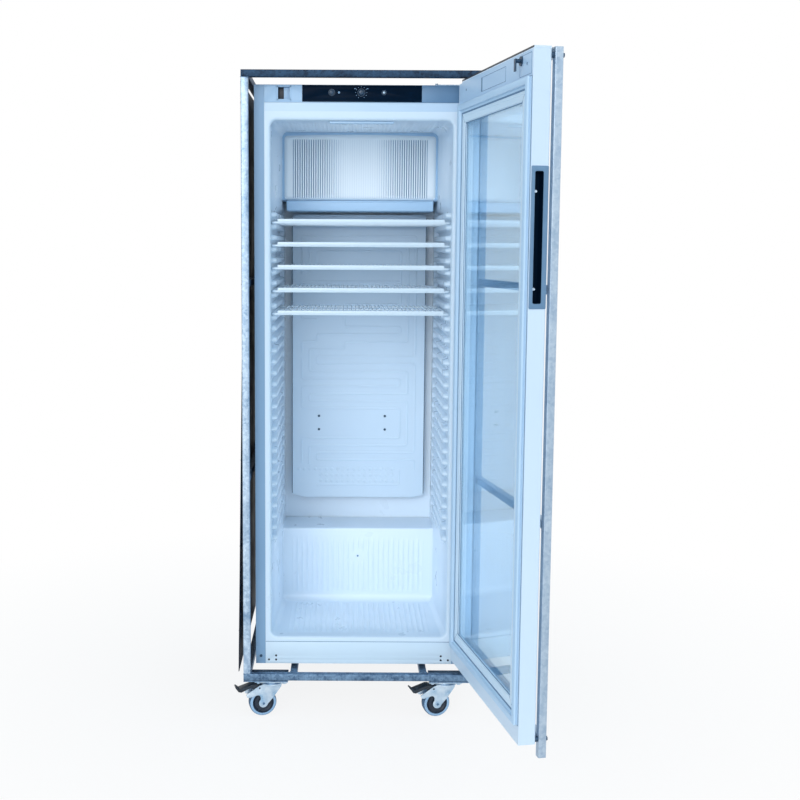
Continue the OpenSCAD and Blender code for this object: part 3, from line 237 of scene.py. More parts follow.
# The places that pieces are drawn in: the cage on the floor, the cabinet from its front lower edge,
# and the door as if closed. Drawings are in millimetres, and each place turns them into the frame's metres.
MM = 0.001
cabinet_zero = Vector((0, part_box("kick_panel")[0].y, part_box("kick_panel")[0].z))
hinge = next(joint for joint in frame["joints"] if joint["name"] == "door_hinge")
pivot = Vector(hinge["pos_m"])
in_cage = Matrix.Scale(MM, 4)
in_cabinet = Matrix.Translation(cabinet_zero) @ in_cage
swing = Matrix.Rotation(-radians(hinge["range_deg"][0]), 4, "Z")
in_door = Matrix.Translation(pivot) @ swing @ Matrix.Translation(-pivot) @ in_cabinet


def span_mm(place, node):
    """The box of a CAD node in a place's own millimetres: its lowest and highest corners."""
    back = place.inverted()
    points = [back @ v.co for v in frame["nodes"][node].data.vertices]
    return tuple(Vector([end(p[i] for p in points) for i in range(3)]) for end in (min, max))


def make_piece(name, drawing, place, finish, node=None, body="cabinet", crease=35, inside=False):
    """Puts a drawing in millimetres at its place, gives it a finish and lets it move with a body."""
    bmesh.ops.remove_doubles(drawing, verts=drawing.verts, dist=0.01)
    bmesh.ops.recalc_face_normals(drawing, faces=drawing.faces)
    if inside:
        bmesh.ops.reverse_faces(drawing, faces=drawing.faces)
    bmesh.ops.transform(drawing, matrix=place, verts=drawing.verts)
    name = name.replace(" ", "_")
    mesh = bpy.data.meshes.new(name)
    drawing.to_mesh(mesh)
    drawing.free()
    for face in mesh.polygons:
        face.use_smooth = True
    mesh.set_sharp_from_angle(angle=radians(crease))
    mesh.materials.append(finish.material)
    piece = bpy.data.objects.new(name, mesh)
    scene.collection.objects.link(piece)
    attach(piece, body)
    if node:
        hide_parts(node)


def paint(finish, *nodes):
    """Gives CAD nodes whose shape is right their finish."""
    for node in nodes:
        slots = frame["nodes"][node].material_slots
        if slots:
            slots[0].material = finish.material
        else:
            frame["nodes"][node].data.materials.append(finish.material)


def bevel(drawing, edges, width, steps, clamp=False):
    """Rounds edges."""
    bmesh.ops.bevel(drawing, geom=edges, offset=width, segments=steps, profile=0.5, affect="EDGES",
                    material=-1, clamp_overlap=clamp)


def block(drawing, low, high, edge=0.0, steps=2):
    """A box from corner to corner with rounded edges."""
    low, high = Vector(low), Vector(high)
    size = Matrix.Diagonal((*(high - low), 1))
    made = bmesh.ops.create_cube(drawing, size=1, matrix=Matrix.Translation((low + high) / 2) @ size)
    if edge:
        bevel(drawing, list({e for v in made["verts"] for e in v.link_edges}), edge, steps)


def blocks(*boxes):
    """A drawing of boxes, each with what block asks for."""
    drawing = bmesh.new()
    for box in boxes:
        block(drawing, *box)
    return drawing


def rounded(node, edge, place=in_cage):
    """A copy of a CAD node, merged, with its sharp edges rounded."""
    drawing = bmesh.new()
    drawing.from_mesh(frame["nodes"][node].data)
    bmesh.ops.transform(drawing, matrix=place.inverted(), verts=drawing.verts)
    bmesh.ops.remove_doubles(drawing, verts=drawing.verts, dist=0.02)
    bmesh.ops.dissolve_limit(drawing, angle_limit=radians(1), verts=drawing.verts, edges=drawing.edges)
    sharp = [e for e in drawing.edges if len(e.link_faces) == 2 and e.calc_face_angle() > radians(35)]
    bevel(drawing, sharp, edge, 2, clamp=True)
    return drawing


def round_off(name, node, edge, finish, body="cabinet", place=in_cage):
    """A piece that is the rounded copy of a CAD node."""
    make_piece(name, rounded(node, edge, place), place, finish, node, body)


# The cage is welded from galvanised square tube. Drawn tube has rounded corners and open ends,
# and the zinc shows as a mottled grey with fine streaks. Its tones are lit and shaded copies of one zinc:
# painted shade darkens the rails, and the top ring most, and painted light brightens the posts.
TUBE = 20
TUBE_WALL = 1.5
TUBE_CORNER = 2.5


def zinc_finish(name, slot, dark, light, gloss):
    zinc = Finish(name, slot)
    spangle = zinc.add("TexVoronoi", {"Vector": zinc.spot, "Scale": 160}, out="Color")
    patches = zinc.noise(26, 5, rough=0.65)
    streaks = zinc.noise(220, 3, zinc.stretched(1, 1, 0.08))
    grain = zinc.add("SeparateColor", {0: spangle})
    level = patches * 0.75 + grain * 0.2 + streaks * 0.2
    colour = zinc.ramp(level, (0.35, tone(*dark)), (0.8, tone(*light)))
    return zinc.surface(Base_Color=colour, Metallic=0.72, Normal=zinc.bump(streaks + patches, 0.0004, 0.35),
                        Roughness=zinc.band(level, 0.3, 0.8, gloss, gloss + 0.22))


# Lit and shaded copies of one zinc: rails and top ring in painted shade, posts in painted light.
rail_zinc_painted_shade = zinc_finish("zinc with painted shade", "cage_grey", (44, 72, 104), (132, 163, 192), 0.38)
ring_zinc_painted_shade = zinc_finish("shaded zinc", "cage_grey", (8, 26, 46), (54, 84, 114), 0.42)
post_zinc_painted_light = zinc_finish("zinc with painted light", "galvanised", (124, 154, 184), (204, 222, 238), 0.3)


def tube(drawing, low, high):
    """A length of square tube between two corners, open at the ends of its longest side."""
    sides = Vector(high) - Vector(low)
    along = max(range(3), key=lambda i: sides[i])
    length = blocks((low, high))
    long_edges = [e for e in length.edges if abs((e.verts[0].co - e.verts[1].co)[along]) > sides[along] / 2]
    ends = [f for f in length.faces if abs(f.normal[along]) > 0.9]
    bmesh.ops.delete(length, geom=ends, context="FACES_ONLY")
    bevel(length, long_edges, TUBE_CORNER, 3)
    bmesh.ops.recalc_face_normals(length, faces=length.faces)
    bmesh.ops.solidify(length, geom=length.faces, thickness=TUBE_WALL)
    add_to(drawing, length)


def add_to(drawing, other):
    """Joins another drawing into this one."""
    mesh = bpy.data.meshes.new("part")
    other.to_mesh(mesh)
    other.free()
    drawing.from_mesh(mesh)
    bpy.data.meshes.remove(mesh)


def weld(drawing, start, end, width=3.2):
    """A bead of weld: small overlapping drops in a row."""
    start, end = Vector(start), Vector(end)
    drops = max(2, round((end - start).length / (width * 0.55)))
    for i in range(drops + 1):
        wobble = 1 + 0.18 * sin(i * 2.4)
        at = start.lerp(end, i / drops)
        bmesh.ops.create_icosphere(drawing, subdivisions=1, radius=width / 2 * wobble,
                                   matrix=Matrix.Translation(at))


base_low, base_high = span_mm(in_cage, "cage_base_frame")
top_low, top_high = span_mm(in_cage, "cage_top_frame")
post_low, post_high = span_mm(in_cage, "cage_posts")
CROSS_MIDDLE = 188
RIGHT_POST_BACK = 48



def level_frame(low, high, *middles):
    """Two rails across, two at the sides and one at each of the middles between them."""
    drawing = bmesh.new()
    for y in (low.y, high.y - TUBE):
        tube(drawing, (low.x, y, low.z), (high.x, y + TUBE, high.z))
    for x in (low.x, high.x - TUBE, *middles):
        tube(drawing, (x, low.y + TUBE, low.z), (x + TUBE, high.y - TUBE, high.z))
    return drawing


middles = (-CROSS_MIDDLE - TUBE / 2, CROSS_MIDDLE - TUBE / 2)
base = level_frame(base_low, base_high, *middles)
for x in middles:
    for y in (base_low.y + TUBE, base_high.y - TUBE):
        for z in (base_high.z, base_low.z):
            weld(base, (x, y, z), (x + TUBE, y, z))
make_piece("base rails", base, in_cage, rail_zinc_painted_shade, "cage_base_frame")

round_off("corner plates", "cage_corner_plates", 0.8, rail_zinc_painted_shade)

posts = bmesh.new()
corners = [(post_low.x, post_low.y), (post_high.x - TUBE, post_low.y + RIGHT_POST_BACK),
           (post_low.x, post_high.y - TUBE), (post_high.x - TUBE, post_high.y - TUBE)]
for x, y in corners:
    tube(posts, (x, y, post_low.z), (x + TUBE, y + TUBE, post_high.z))
make_piece("posts", posts, in_cage, post_zinc_painted_light, "cage_posts")

post_welds = bmesh.new()
for x, y in corners:
    inner = x + TUBE if x < 0 else x
    for z in (post_low.z, post_high.z):
        weld(post_welds, (inner, y + 1, z), (inner, y + TUBE - 1, z))
        weld(post_welds, (x, y, z), (x + TUBE, y, z), 2.6)
make_piece("post welds", post_welds, in_cage, rail_zinc_painted_shade)

make_piece("top ring", level_frame(top_low, top_high), in_cage, ring_zinc_painted_shade, "cage_top_frame")

side_bars = bmesh.new()
bars_low, bars_high = span_mm(in_cage, "cage_side_bars")
for z in (bars_low.z, bars_high.z - TUBE):
    tube(side_bars, (bars_low.x, bars_low.y, z), (bars_low.x + TUBE, bars_high.y, z + TUBE))
    tube(side_bars, (bars_high.x - TUBE, corners[1][1] + TUBE, z), (bars_high.x, bars_high.y, z + TUBE))
make_piece("side bars", side_bars, in_cage, rail_zinc_painted_shade, "cage_side_bars")

# The sides of the cage are closed with black coated sheet, riveted to the posts.
# The sheet springs outwards below, where nothing holds it.
black_sheet = Finish("black coated sheet", "black_sheet")
dust = black_sheet.noise(9, 5)
dusty = black_sheet.mix(black_sheet.band(dust, 0.45, 0.8, 0, 0.5), tone(4, 22, 42), tone(16, 40, 64))
black_sheet.surface(
    Base_Color=dusty, Specular_IOR_Level=0.15, Roughness=black_sheet.band(dust, 0.3, 0.7, 0.4, 0.6),
    Normal=black_sheet.bump(black_sheet.noise(450, 2), 0.0003, 0.25))
paint(black_sheet, "side_sheets")

rivets = bmesh.new()
RIVET = 4
SHEET = 2
SHEET_BEND = 1042
SHEET_FALL = 912
SHEET_FLARE = 14
for z in range(250, 1800, 250):
    lean = SHEET_FLARE * max(0, SHEET_BEND - z) / SHEET_FALL
    for x, y in corners:
        face = x - SHEET - lean if x < 0 else x + TUBE + SHEET + lean
        at = Matrix.Translation((face, y + TUBE / 2 + (TUBE if y < -300 else 0), z))
        bmesh.ops.create_uvsphere(rivets, u_segments=12, v_segments=6, radius=RIVET,
                                  matrix=at @ Matrix.Diagonal((0.35, 1, 1, 1)))
make_piece("side rivets", rivets, in_cage, black_sheet)

# Black rubber pads lie between the cross members and the cabinet, and grommets under the compressor.
# Their finish, like most that follow, wavers between two tones.
def coat(name, slot, mottle, dark, light, rough, grain=None, **sockets):
    """Mottle is a noise's scale and detail, rough is one value or a noise and the two values it runs
    between, and grain is a noise with a bump's depth and strength."""
    finish = Finish(name, slot)
    if isinstance(rough, tuple):
        rough = finish.band(finish.noise(*rough[:2]), 0.3, 0.7, *rough[2:])
    if grain:
        sockets["Normal"] = finish.bump(finish.noise(*grain[:2]), *grain[2:])
    colour = finish.mix(finish.noise(*mottle), tone(*dark), tone(*light))
    return finish.surface(Base_Color=colour, Roughness=rough, **sockets)


rubber = coat(
    "black rubber", "pad_rubber", (40, 4), (30, 52, 76), (66, 92, 118), 0.72, (900, 2, 0.0002, 0.4))
round_off("rubber pads", "rubber_feet", 1.2, rubber)

# The cabinet's shell is folded from painted sheet. Its front flange shows beside the liner as a
# blue-grey strip, and the panels are plain, with the faint orange peel of baked paint.
shell_paint = coat(
    "shell paint", "shell_paint", (3, 3), (128, 164, 197), (144, 178, 208), 0.33, (500, 2, 0.0002, 0.2))
paint(shell_paint, "side_panels", "top_panel")

back_zinc = zinc_finish("back sheet", "zinc_back", (120, 136, 150), (188, 198, 208), 0.42)
paint(back_zinc, "back_panel", "base_panel")

white_paint = coat(
    "white paint", "shell_paint", (5, 3), (216, 234, 248), (224, 240, 251), 0.36, (520, 2, 0.0002, 0.15))
round_off("kick panel", "kick_panel", 0.25, white_paint)

# Dark plugs close the hinge holes that this side's build leaves spare.
black_plastic = coat(
    "black plastic", "black_plastic", (60, 4), (6, 20, 36), (18, 36, 54), 0.42, (700, 2, 0.0002, 0.3))


def peg(drawing, at, foot, top, depth, steps=20, turn=pi / 2):
    """A round peg between two radii, its axis turned from upright about X."""
    bmesh.ops.create_cone(drawing, cap_ends=True, segments=steps, radius1=foot, radius2=top, depth=depth,
                          matrix=Matrix.Translation(at) @ Matrix.Rotation(turn, 4, "X"))


plugs = bmesh.new()
for side in (-1, 1):
    for x, z in ((262, 11.3), (241, 11.3), (241, 23.5)):
        peg(plugs, (side * x, -0.2, z), 3.2, 2.8, 1)
make_piece("hole plugs", plugs, in_cabinet, black_plastic)

# The inner liner is one vacuum-formed sheet of white plastic. Shelf ribs stand out of its side walls,
# the ceiling is fluted, and every corner is rounded as the forming tool leaves it.
WALL_HALF = 255
FLANGE_HALF = 271.7
FLANGE_LOW = 66.5
FLANGE_HIGH = 1611.5
MOUTH_LOW = 81
MOUTH_HIGH = 1563
MOUTH_CORNER = 18
ROOM_BACK = 507.5
RIB_OUT = 15
RIB_PITCH = 32.35
RIB_FIRST = 363.65
RIB_COUNT = 30
RIB_START = 30
RIB_END = 452
LIP = 8
COVER_FRONT = 340


def smooth(value, low, high):
    """0 below low, 1 above high, and a soft step between."""
    t = min(1, max(0, (value - low) / (high - low)))
    return t * t * (3 - 2 * t)


def rib_share(y, z):
    """How far the wall stands out of its groove, 0 to 1."""
    step = (z - RIB_FIRST) / RIB_PITCH
    off = (step - round(step)) * RIB_PITCH
    tall = smooth(-off, 10.5, 4) if off < 0 else smooth(off, 9.4, 7.8)
    nose = RIB_START + 12 * (off / 9) ** 2
    return tall * smooth(y, nose, nose + 9)


def wall_half(y, z):
    """Half the compartment's width at a depth and height."""
    last = RIB_FIRST + (RIB_COUNT - 0.5) * RIB_PITCH
    zone = smooth(z, RIB_FIRST - 20, RIB_FIRST - 12) * smooth(z, last + 4, last - 4)
    plain = min(1, max(0, (y - 12) / (COVER_FRONT - 12)))
    ribbed = max(rib_share(y, z), smooth(y, RIB_END, RIB_END + 10))
    return WALL_HALF - RIB_OUT * (plain * (1 - zone) + ribbed * zone)


def ceiling_flute(x, y):
    """How deep the ceiling's shallow flutes are. They fade out at both ends."""
    wave = 0.5 - 0.5 * cos(2 * pi * x / 13)
    return 1.8 * wave * smooth(y, 45, 70) * smooth(y, 330, 305)


FLOOR_STEPS = 6
ARC_STEPS = 8
CEILING_STEPS = 90
WALL_TOP = MOUTH_HIGH - MOUTH_CORNER
wall_heights = [MOUTH_LOW + MOUTH_CORNER + 14 * i for i in range(18)]
wall_heights += [RIB_FIRST - 22 + 2.157 * i for i in range(452)]
rest = WALL_TOP - wall_heights[-1]
wall_heights += [WALL_TOP - rest + rest * (i + 1) / 16 for i in range(16)]
wall_heights = [z for z in wall_heights if z <= WALL_TOP]
stations = [("flange", -1), ("outset", 13)]
stations += [("lip", a) for a in range(0, 91, 15)]
depths = (12, 18, 24, 28, 31, 34, 37, 40, 43, 47, 54, 70, *range(100, 301, 40), 320, 341, 400, 448,
          453, 456, 459, 463, 480, 500, ROOM_BACK)
stations += [("wall", y) for y in depths]


def skin(columns, rows, point):
    """A grid of columns by rows, with each crossing where the rule puts it."""
    drawing = bmesh.new()
    across, up = len(columns) - 1, len(rows) - 1
    bmesh.ops.create_grid(drawing, x_segments=across, y_segments=up, size=1)
    for v in drawing.verts:
        v.co = point(columns[round((v.co.x + 1) / 2 * across)], rows[round((v.co.y + 1) / 2 * up)])
    return drawing


def ring_point(k, station):
    """The k-th point of the half ring around the compartment, at a station."""
    kind, value = station
    y = value if kind == "wall" else LIP * (1 - cos(radians(value))) if kind == "lip" else 0
    outset = {"wall": 0, "flange": 0, "outset": value}.get(kind, LIP * (1 - sin(radians(value))))
    low, high, corner = MOUTH_LOW - outset, MOUTH_HIGH + outset, MOUTH_CORNER + outset
    half = WALL_HALF + outset
    if kind == "flange":
        low, high, corner, half = FLANGE_LOW, FLANGE_HIGH, 1.5, FLANGE_HALF
    inner = corner - (wall_half(y, MOUTH_HIGH) if kind == "wall" else half)
    low = max(low, FLANGE_LOW)
    if k < FLOOR_STEPS:
        return inner * k / FLOOR_STEPS, y, low
    k -= FLOOR_STEPS
    if k <= ARC_STEPS:
        angle = radians(90 * k / ARC_STEPS)
        return inner - corner * sin(angle), y, low + corner - corner * cos(angle)
    k -= ARC_STEPS + 1
    if k < len(wall_heights):
        z = wall_heights[k]
        return -(wall_half(y, z) if kind == "wall" else half), y, z
    k -= len(wall_heights)
    if k <= ARC_STEPS:
        angle = radians(90 * k / ARC_STEPS)
        return inner - corner * cos(angle), y, high - corner + corner * sin(angle)
    k -= ARC_STEPS
    x = inner * (1 - k / CEILING_STEPS)
    return x, y, high - (ceiling_flute(x, y) if kind == "wall" else 0)


ring_points = FLOOR_STEPS + ARC_STEPS + 1 + len(wall_heights) + ARC_STEPS + CEILING_STEPS + 1
liner = skin(range(ring_points), stations, ring_point)
bmesh.ops.mirror(liner, geom=liner.verts[:] + liner.edges[:] + liner.faces[:], merge_dist=0.01, axis="X")
rear_edge = [e for e in liner.edges if e.is_boundary and min(v.co.y for v in e.verts) > ROOM_BACK - 1]
bmesh.ops.contextual_create(liner, geom=rear_edge)

liner_white = coat("liner white", "liner", (2.2, 3), (221, 237, 251), (227, 241, 253), (14, 4, 0.26, 0.38),
                   (260, 2, 0.0002, 0.08))
make_piece("inner liner", liner, in_cabinet, liner_white, "inner_liner", crease=50, inside=True)

# The flange band's colour darkens towards the right: painted shade.
band_white = Finish("flange band", "liner")
band_x = band_white.along("X")
band_painted_shade = band_white.mix(band_white.band(band_x, -0.2, 0.26), tone(216, 234, 249), tone(196, 220, 243))
band_white.surface(Base_Color=band_painted_shade, Roughness=0.34)
flange_band = blocks(((-271.5, -0.5, 1588), (271.5, 0.4, 1611.2), 0.35, 1))
make_piece("flange band", flange_band, in_cabinet, band_white)
# A thin strip in painted shadow marks the seam between the kick panel and the flange.
seam_painted_shadow = coat("seam shadow", "grip_grey", (40, 3), (92, 124, 156), (112, 144, 174), 0.7)
make_piece("kick seam", blocks(((-271, -0.2, 65.4), (271, 0.2, 66.9))), in_cabinet, seam_painted_shadow)

# The hump over the compressor and the floor are one run of the same sheet, with upright flutes in front
# and flutes along the floor, and a drain hole at half height.
HUMP_FRONT = 353
HUMP_FLOOR = MOUTH_LOW + 0.4
COVE = 22
BROW = 7
HUMP_TOP = 319
DRAIN_Z = 228
FLUTE_PITCH = 16
FLUTE_DEPTH = 2.6
RUNS = {"floor": range(26, 327, 10), "cove": range(0, 91, 10), "rise": range(105, 290, 8),
        "brow": range(0, 91, 10), "top": range(385, 506, 15)}
path = [(kind, value) for kind, values in RUNS.items() for value in values]


def hump_point(u, step):
    """A point of the floor and hump: u runs across from -1 to 1."""
    kind, value = step
    s, c = sin(radians(value)), cos(radians(value))
    y, z, out_y, out_z = {
        "floor": (value, HUMP_FLOOR, 0, 1),
        "cove": (HUMP_FRONT - COVE + COVE * s, HUMP_FLOOR + COVE - COVE * c, -s, c),
        "rise": (HUMP_FRONT, value, -1, 0),
        "brow": (HUMP_FRONT + BROW - BROW * c, HUMP_TOP - BROW + BROW * s, -c, s),
        "top": (value, HUMP_TOP, 0, 1)}[kind]
    half = WALL_HALF - RIB_OUT * min(1, max(0, (y - 12) / (HUMP_FRONT - 12))) + 0.8
    x = u * half
    edge = smooth(abs(x), 212, 200)
    wave = 0.5 + 0.5 * cos(2 * pi * x / FLUTE_PITCH)
    run = 0
    if kind == "floor":
        run = smooth(y, 40, 52) * smooth(y, 326, 312)
    if kind == "rise":
        run = smooth(z, 112, 122) * smooth(z, 285, 275)
        if abs(x) < 26:
            run *= smooth(hypot(x, z - DRAIN_Z), 20, 30)
    lift = FLUTE_DEPTH * wave ** 3 * edge * run
    side_rise = 6 * smooth(abs(u), 0.93, 1.0) ** 2 if kind == "floor" else 0
    return x, y + out_y * lift, z + out_z * lift + side_rise


make_piece("liner hump", skin([i / 150 - 1 for i in range(301)], path, hump_point), in_cabinet, liner_white,
           crease=60)

drain = bmesh.new()
peg(drain, (0, HUMP_FRONT - 0.6, DRAIN_Z), 3.4, 2.6, 1.6, 24)
grey_plastic = coat(
    "grey plastic", "grip_grey", (30, 3), (92, 126, 158), (112, 146, 176), 0.4, (600, 2, 0.0002, 0.3))
make_piece("drain hole", drain, in_cabinet, grey_plastic)

# Foam fills the space between liner and shell. It was blown in as a liquid and set to a pale tan.
foam = Finish("insulation foam", "foam")
cells = foam.add("TexVoronoi", {"Vector": foam.spot, "Scale": 420}, out="Distance")
foam_tone = foam.mix(foam.noise(12, 4), tone(208, 192, 150), tone(226, 212, 172))
foam.surface(Base_Color=foam_tone, Roughness=0.95, Normal=foam.bump(cells, 0.001, 0.6))
paint(foam, "insulation")

# The fascia over the compartment is grey moulded plastic with a glossy black panel for the controls.
# The lock recess at its left end is open towards the door.
# The fascia's grey darkens towards the right: painted shade.
fascia_grey = Finish("fascia grey", "fascia_grey")
sideways = fascia_grey.along("X")
fascia_painted_shade = fascia_grey.band(sideways + fascia_grey.noise(8, 3) * 0.04, -0.1, 0.24)
fascia_grey.surface(
    Base_Color=fascia_grey.mix(fascia_painted_shade, tone(176, 207, 235), tone(104, 140, 174)), Roughness=0.38,
    Normal=fascia_grey.bump(fascia_grey.noise(600, 2), 0.0002, 0.25))
round_off("fascia", "fascia", 0.35, fascia_grey)

RECESS_X = -216.5
RECESS_Z = 1637


def four_bars(drawing, xs, ys, zs, wide, tall, *edge):
    """A flat frame: two upright bars of one width and two level ones of another."""
    (x0, x1), (z0, z1) = xs, zs
    for low, high in (((x0, z0), (x0 + wide, z1)), ((x1 - wide, z0), (x1, z1)),
                      ((x0, z1 - tall), (x1, z1)), ((x0, z0), (x1, z0 + tall))):
        block(drawing, (low[0], ys[0], low[1]), (high[0], ys[1], high[1]), *edge)


recess = blocks(((RECESS_X - 1, 7.5, 1620), (RECESS_X + 18, 11.5, 1654), 1.5, 3))
four_bars(recess, (RECESS_X - 20.5, RECESS_X + 19.5), (-1.4, 0.3), (RECESS_Z - 19.5, RECESS_Z + 19.5),
          4, 3, 0.5)
make_piece("strike frame", recess, in_cabinet, fascia_grey)
# A black plate at the back of the lock recess is painted shadow.
strike_painted_shadow = blocks(((RECESS_X - 26, 12, 1620.6), (RECESS_X + 18, 13.7, 1653.4), 0.5))
make_piece("strike shadow", strike_painted_shadow, in_cabinet, black_plastic)

panel_black = coat(
    "glossy black panel", "black_plastic", (20, 3), (2, 20, 38), (6, 28, 48), 0.3, Specular_IOR_Level=0.03)
strip_low, strip_high = span_mm(in_cabinet, "control_strip")
strip = rounded("control_strip", 0.3, in_cabinet)
block(strip, (strip_low.x, strip_low.y, 1613.6), (strip_high.x, strip_high.y, strip_low.z + 0.7), 0.3)
block(strip, (strip_low.x, strip_low.y, strip_high.z - 0.7), (strip_high.x, strip_high.y, 1659.2), 0.3)
make_piece("control panel", strip, in_cabinet, panel_black, "control_strip")

# The controls: a thermostat dial ringed by dots, a key switch and a lamp button, each in a raised collar.
knob_dark = coat(
    "knob", "black_plastic", (80, 3), (26, 52, 76), (52, 82, 108), 0.32, (800, 2, 0.0002, 0.2))
KNOB_Z = 1639
DIAL_X = -2
KEY_X = -84
BUTTON_X = 61


def lathe(drawing, outline, steps=40, at=0):
    """Turns an outline of (radius, height) pairs about Z and moves it sideways."""
    turned = bmesh.new()
    points = [turned.verts.new((radius, 0, height)) for radius, height in outline]
    edges = [turned.edges.new(pair) for pair in zip(points, points[1:])]
    bmesh.ops.spin(turned, geom=points + edges, cent=(0, 0, 0), axis=(0, 0, 1), angle=2 * pi,
                   steps=steps, use_merge=True)
    bmesh.ops.remove_doubles(turned, verts=turned.verts, dist=0.001)
    bmesh.ops.recalc_face_normals(turned, faces=turned.faces)
    bmesh.ops.translate(turned, verts=turned.verts, vec=(at, 0, 0))
    add_to(drawing, turned)


def facing_front(x, y, z):
    """A place on the front, with the drawing's Z axis towards the viewer."""
    return in_cabinet @ Matrix.Translation((x, y, z)) @ Matrix.Rotation(pi / 2, 4, "X")


dial = blocks(((-0.8, -6, 6), (0.8, 6, 7.6), 0.4))
lathe(dial, [(0, 6.6), (5.2, 6.6), (6.2, 6.2), (6.6, 5.4), (7.6, 1.6), (8.3, 0.8), (8.5, 0.2), (8.5, 0),
             (0, 0)])
make_piece("thermostat dial", dial, facing_front(DIAL_X, -1.4, KNOB_Z), knob_dark, "thermostat_dial",
           "dial")

key = blocks(((-0.6, -3.4, 3.8), (0.6, 3.4, 4.7), 0.25))
lathe(key, [(0, 4.2), (4.6, 4.2), (5.4, 3.8), (5.6, 3.2), (6.4, 3), (6.9, 2.4), (7, 0.3), (7, 0), (0, 0)])
make_piece("key switch", key, facing_front(KEY_X, -1.4, KNOB_Z), knob_dark, "key_switch", "key")

collars = bmesh.new()
for x, radius in ((DIAL_X, 11), (KEY_X, 9.5), (BUTTON_X, 7)):
    lathe(collars, [(radius - 2, 0), (radius - 1.6, 0.5), (radius - 0.4, 0.5), (radius, 0)], at=x)
make_piece("control collars", collars, facing_front(0, -1.2, KNOB_Z), knob_dark)

light_print = coat("pale print", "lamp_white", (60, 3), (120, 156, 190), (150, 184, 214), 0.5)
marks = bmesh.new()
DOT_RING = 15.5
for i in range(11):
    angle = radians(-60 + 30 * i)
    peg(marks, (DIAL_X + DOT_RING * cos(angle), DOT_RING * sin(angle), 0), 0.9, 0.9, 0.3, 10, 0)
for x in (DIAL_X - 17, DIAL_X + 17):
    block(marks, (x - 2.4, 9.6, -0.15), (x + 2.4, 11.4, 0.15), 0.1, 1)
peg(marks, (KEY_X + 20, 0, 0), 3.1, 2.9, 0.5, 16, 0)
make_piece("control marks", marks, facing_front(0, -1.25, KNOB_Z), light_print)

button_silver = coat(
    "lamp button", "bright_steel", (90, 3), (170, 198, 222), (214, 232, 246), 0.25, Metallic=0.2)
button = bmesh.new()
lathe(button, [(0, 4.6), (2.2, 4.5), (3.1, 3.9), (3.5, 3), (3.5, 0), (0, 0)], 24)
make_piece("lamp button", button, facing_front(BUTTON_X, -0.2, KNOB_Z), button_silver, "lamp_switch",
           "lamp_button")

# A slim lamp sits in the ceiling just behind the mouth, under a ribbed clear cover.
lamp_glow = coat("lamp cover", "lamp_white", (40, 3), (188, 214, 238), (200, 224, 245), 0.3)
lamp_low, lamp_high = span_mm(in_cabinet, "ceiling_lamp")
lamp = blocks((lamp_low, lamp_high, 2.5, 3))
for i in range(int((lamp_high.x - lamp_low.x - 16) / 6)):
    x = lamp_low.x + 10 + 6 * i
    block(lamp, (x - 1, lamp_low.y + 3, lamp_low.z - 0.8),
          (x + 1, lamp_high.y - 3, lamp_low.z + 0.5), 0.4, 1)
make_piece("ceiling lamp", lamp, in_cabinet, lamp_glow, "ceiling_lamp")

# The evaporator cover is a moulded white box across the top of the compartment's rear. Fine upright ribs
# run over its face and fade out around a plain middle, and its upper edge is slightly arched.
cover_low, cover_high = span_mm(in_cabinet, "evaporator_cover")
COVER_HALF = 237
COVER_CORNER = 16
COVER_ARCH = 4.4
COVER_PLAIN = 45.5
COVER_RIB_PITCH = 7
COVER_RIB_END = 206
GROOVE_DEEP = 3.4
COLUMN = COVER_RIB_PITCH / 8
FACE_STEPS = 536


def bend(distance, corner):
    """Follows a rounded corner: how far out and how far back after a distance along the skin."""
    arc = corner * pi / 2
    if distance <= 0:
        return distance, 0
    if distance < arc:
        return corner * sin(distance / corner), corner * (1 - cos(distance / corner))
    return corner, corner + distance - arc


def cover_point(u, w):
    """A point of the cover's skin, from distances along it: u across and w upwards."""
    flat = COVER_HALF - COVER_CORNER
    out, back = bend(abs(u) - flat, COVER_CORNER)
    x = copysign(flat + out, u) if abs(u) > flat else u
    middle = (cover_low.z + cover_high.z) / 2
    tall = (cover_high.z - cover_low.z) / 2 - COVER_CORNER
    rise, sink = bend(abs(w) - tall, COVER_CORNER)
    z = middle + (copysign(tall + rise, w) if abs(w) > tall else w)
    z += COVER_ARCH * (1 - (x / COVER_HALF) ** 2) * smooth(w, 40, tall)
    from_groove = (abs(x) - COVER_PLAIN) % COVER_RIB_PITCH
    groove = smooth(min(from_groove, COVER_RIB_PITCH - from_groove), 1.9, 0.2)
    zone = smooth(abs(x), COVER_PLAIN - 2, COVER_PLAIN + 70)
    zone *= smooth(abs(x), COVER_RIB_END + 1, COVER_RIB_END - 1)
    zone *= smooth(w, -tall - 4, -tall) * smooth(w, tall + 2, tall - 2)
    return x, COVER_FRONT + back + sink + GROOVE_DEEP * groove * zone, z


reach_x = COVER_HALF - COVER_CORNER + COVER_CORNER * pi / 2 + 130
reach_z = (cover_high.z - cover_low.z) / 2 - COVER_CORNER + COVER_CORNER * pi / 2 + 20
cover_columns = [-reach_x, -reach_x + 65, *range(-277, -237, 8)]
cover_columns += [COLUMN * (i - FACE_STEPS / 2) for i in range(FACE_STEPS + 1)]
cover_columns += [*range(245, 278, 8), reach_x - 65, reach_x]
cover_rows = [-reach_z, *range(-110, -73, 4), *range(-72, 73, 18), *range(74, 111, 4), reach_z]
cover_white = Finish("cover white", "liner")
cover_x = cover_white.along("X").math("ABSOLUTE")
cover_z = cover_white.along("Z")
rib_place = ((cover_x - COVER_PLAIN * MM) * (1 / (COVER_RIB_PITCH * MM))).math("PINGPONG", 0.5)
rib_top = cabinet_zero.z + (cover_high.z - COVER_CORNER) * MM
rib_foot = cabinet_zero.z + (cover_low.z + 6) * MM
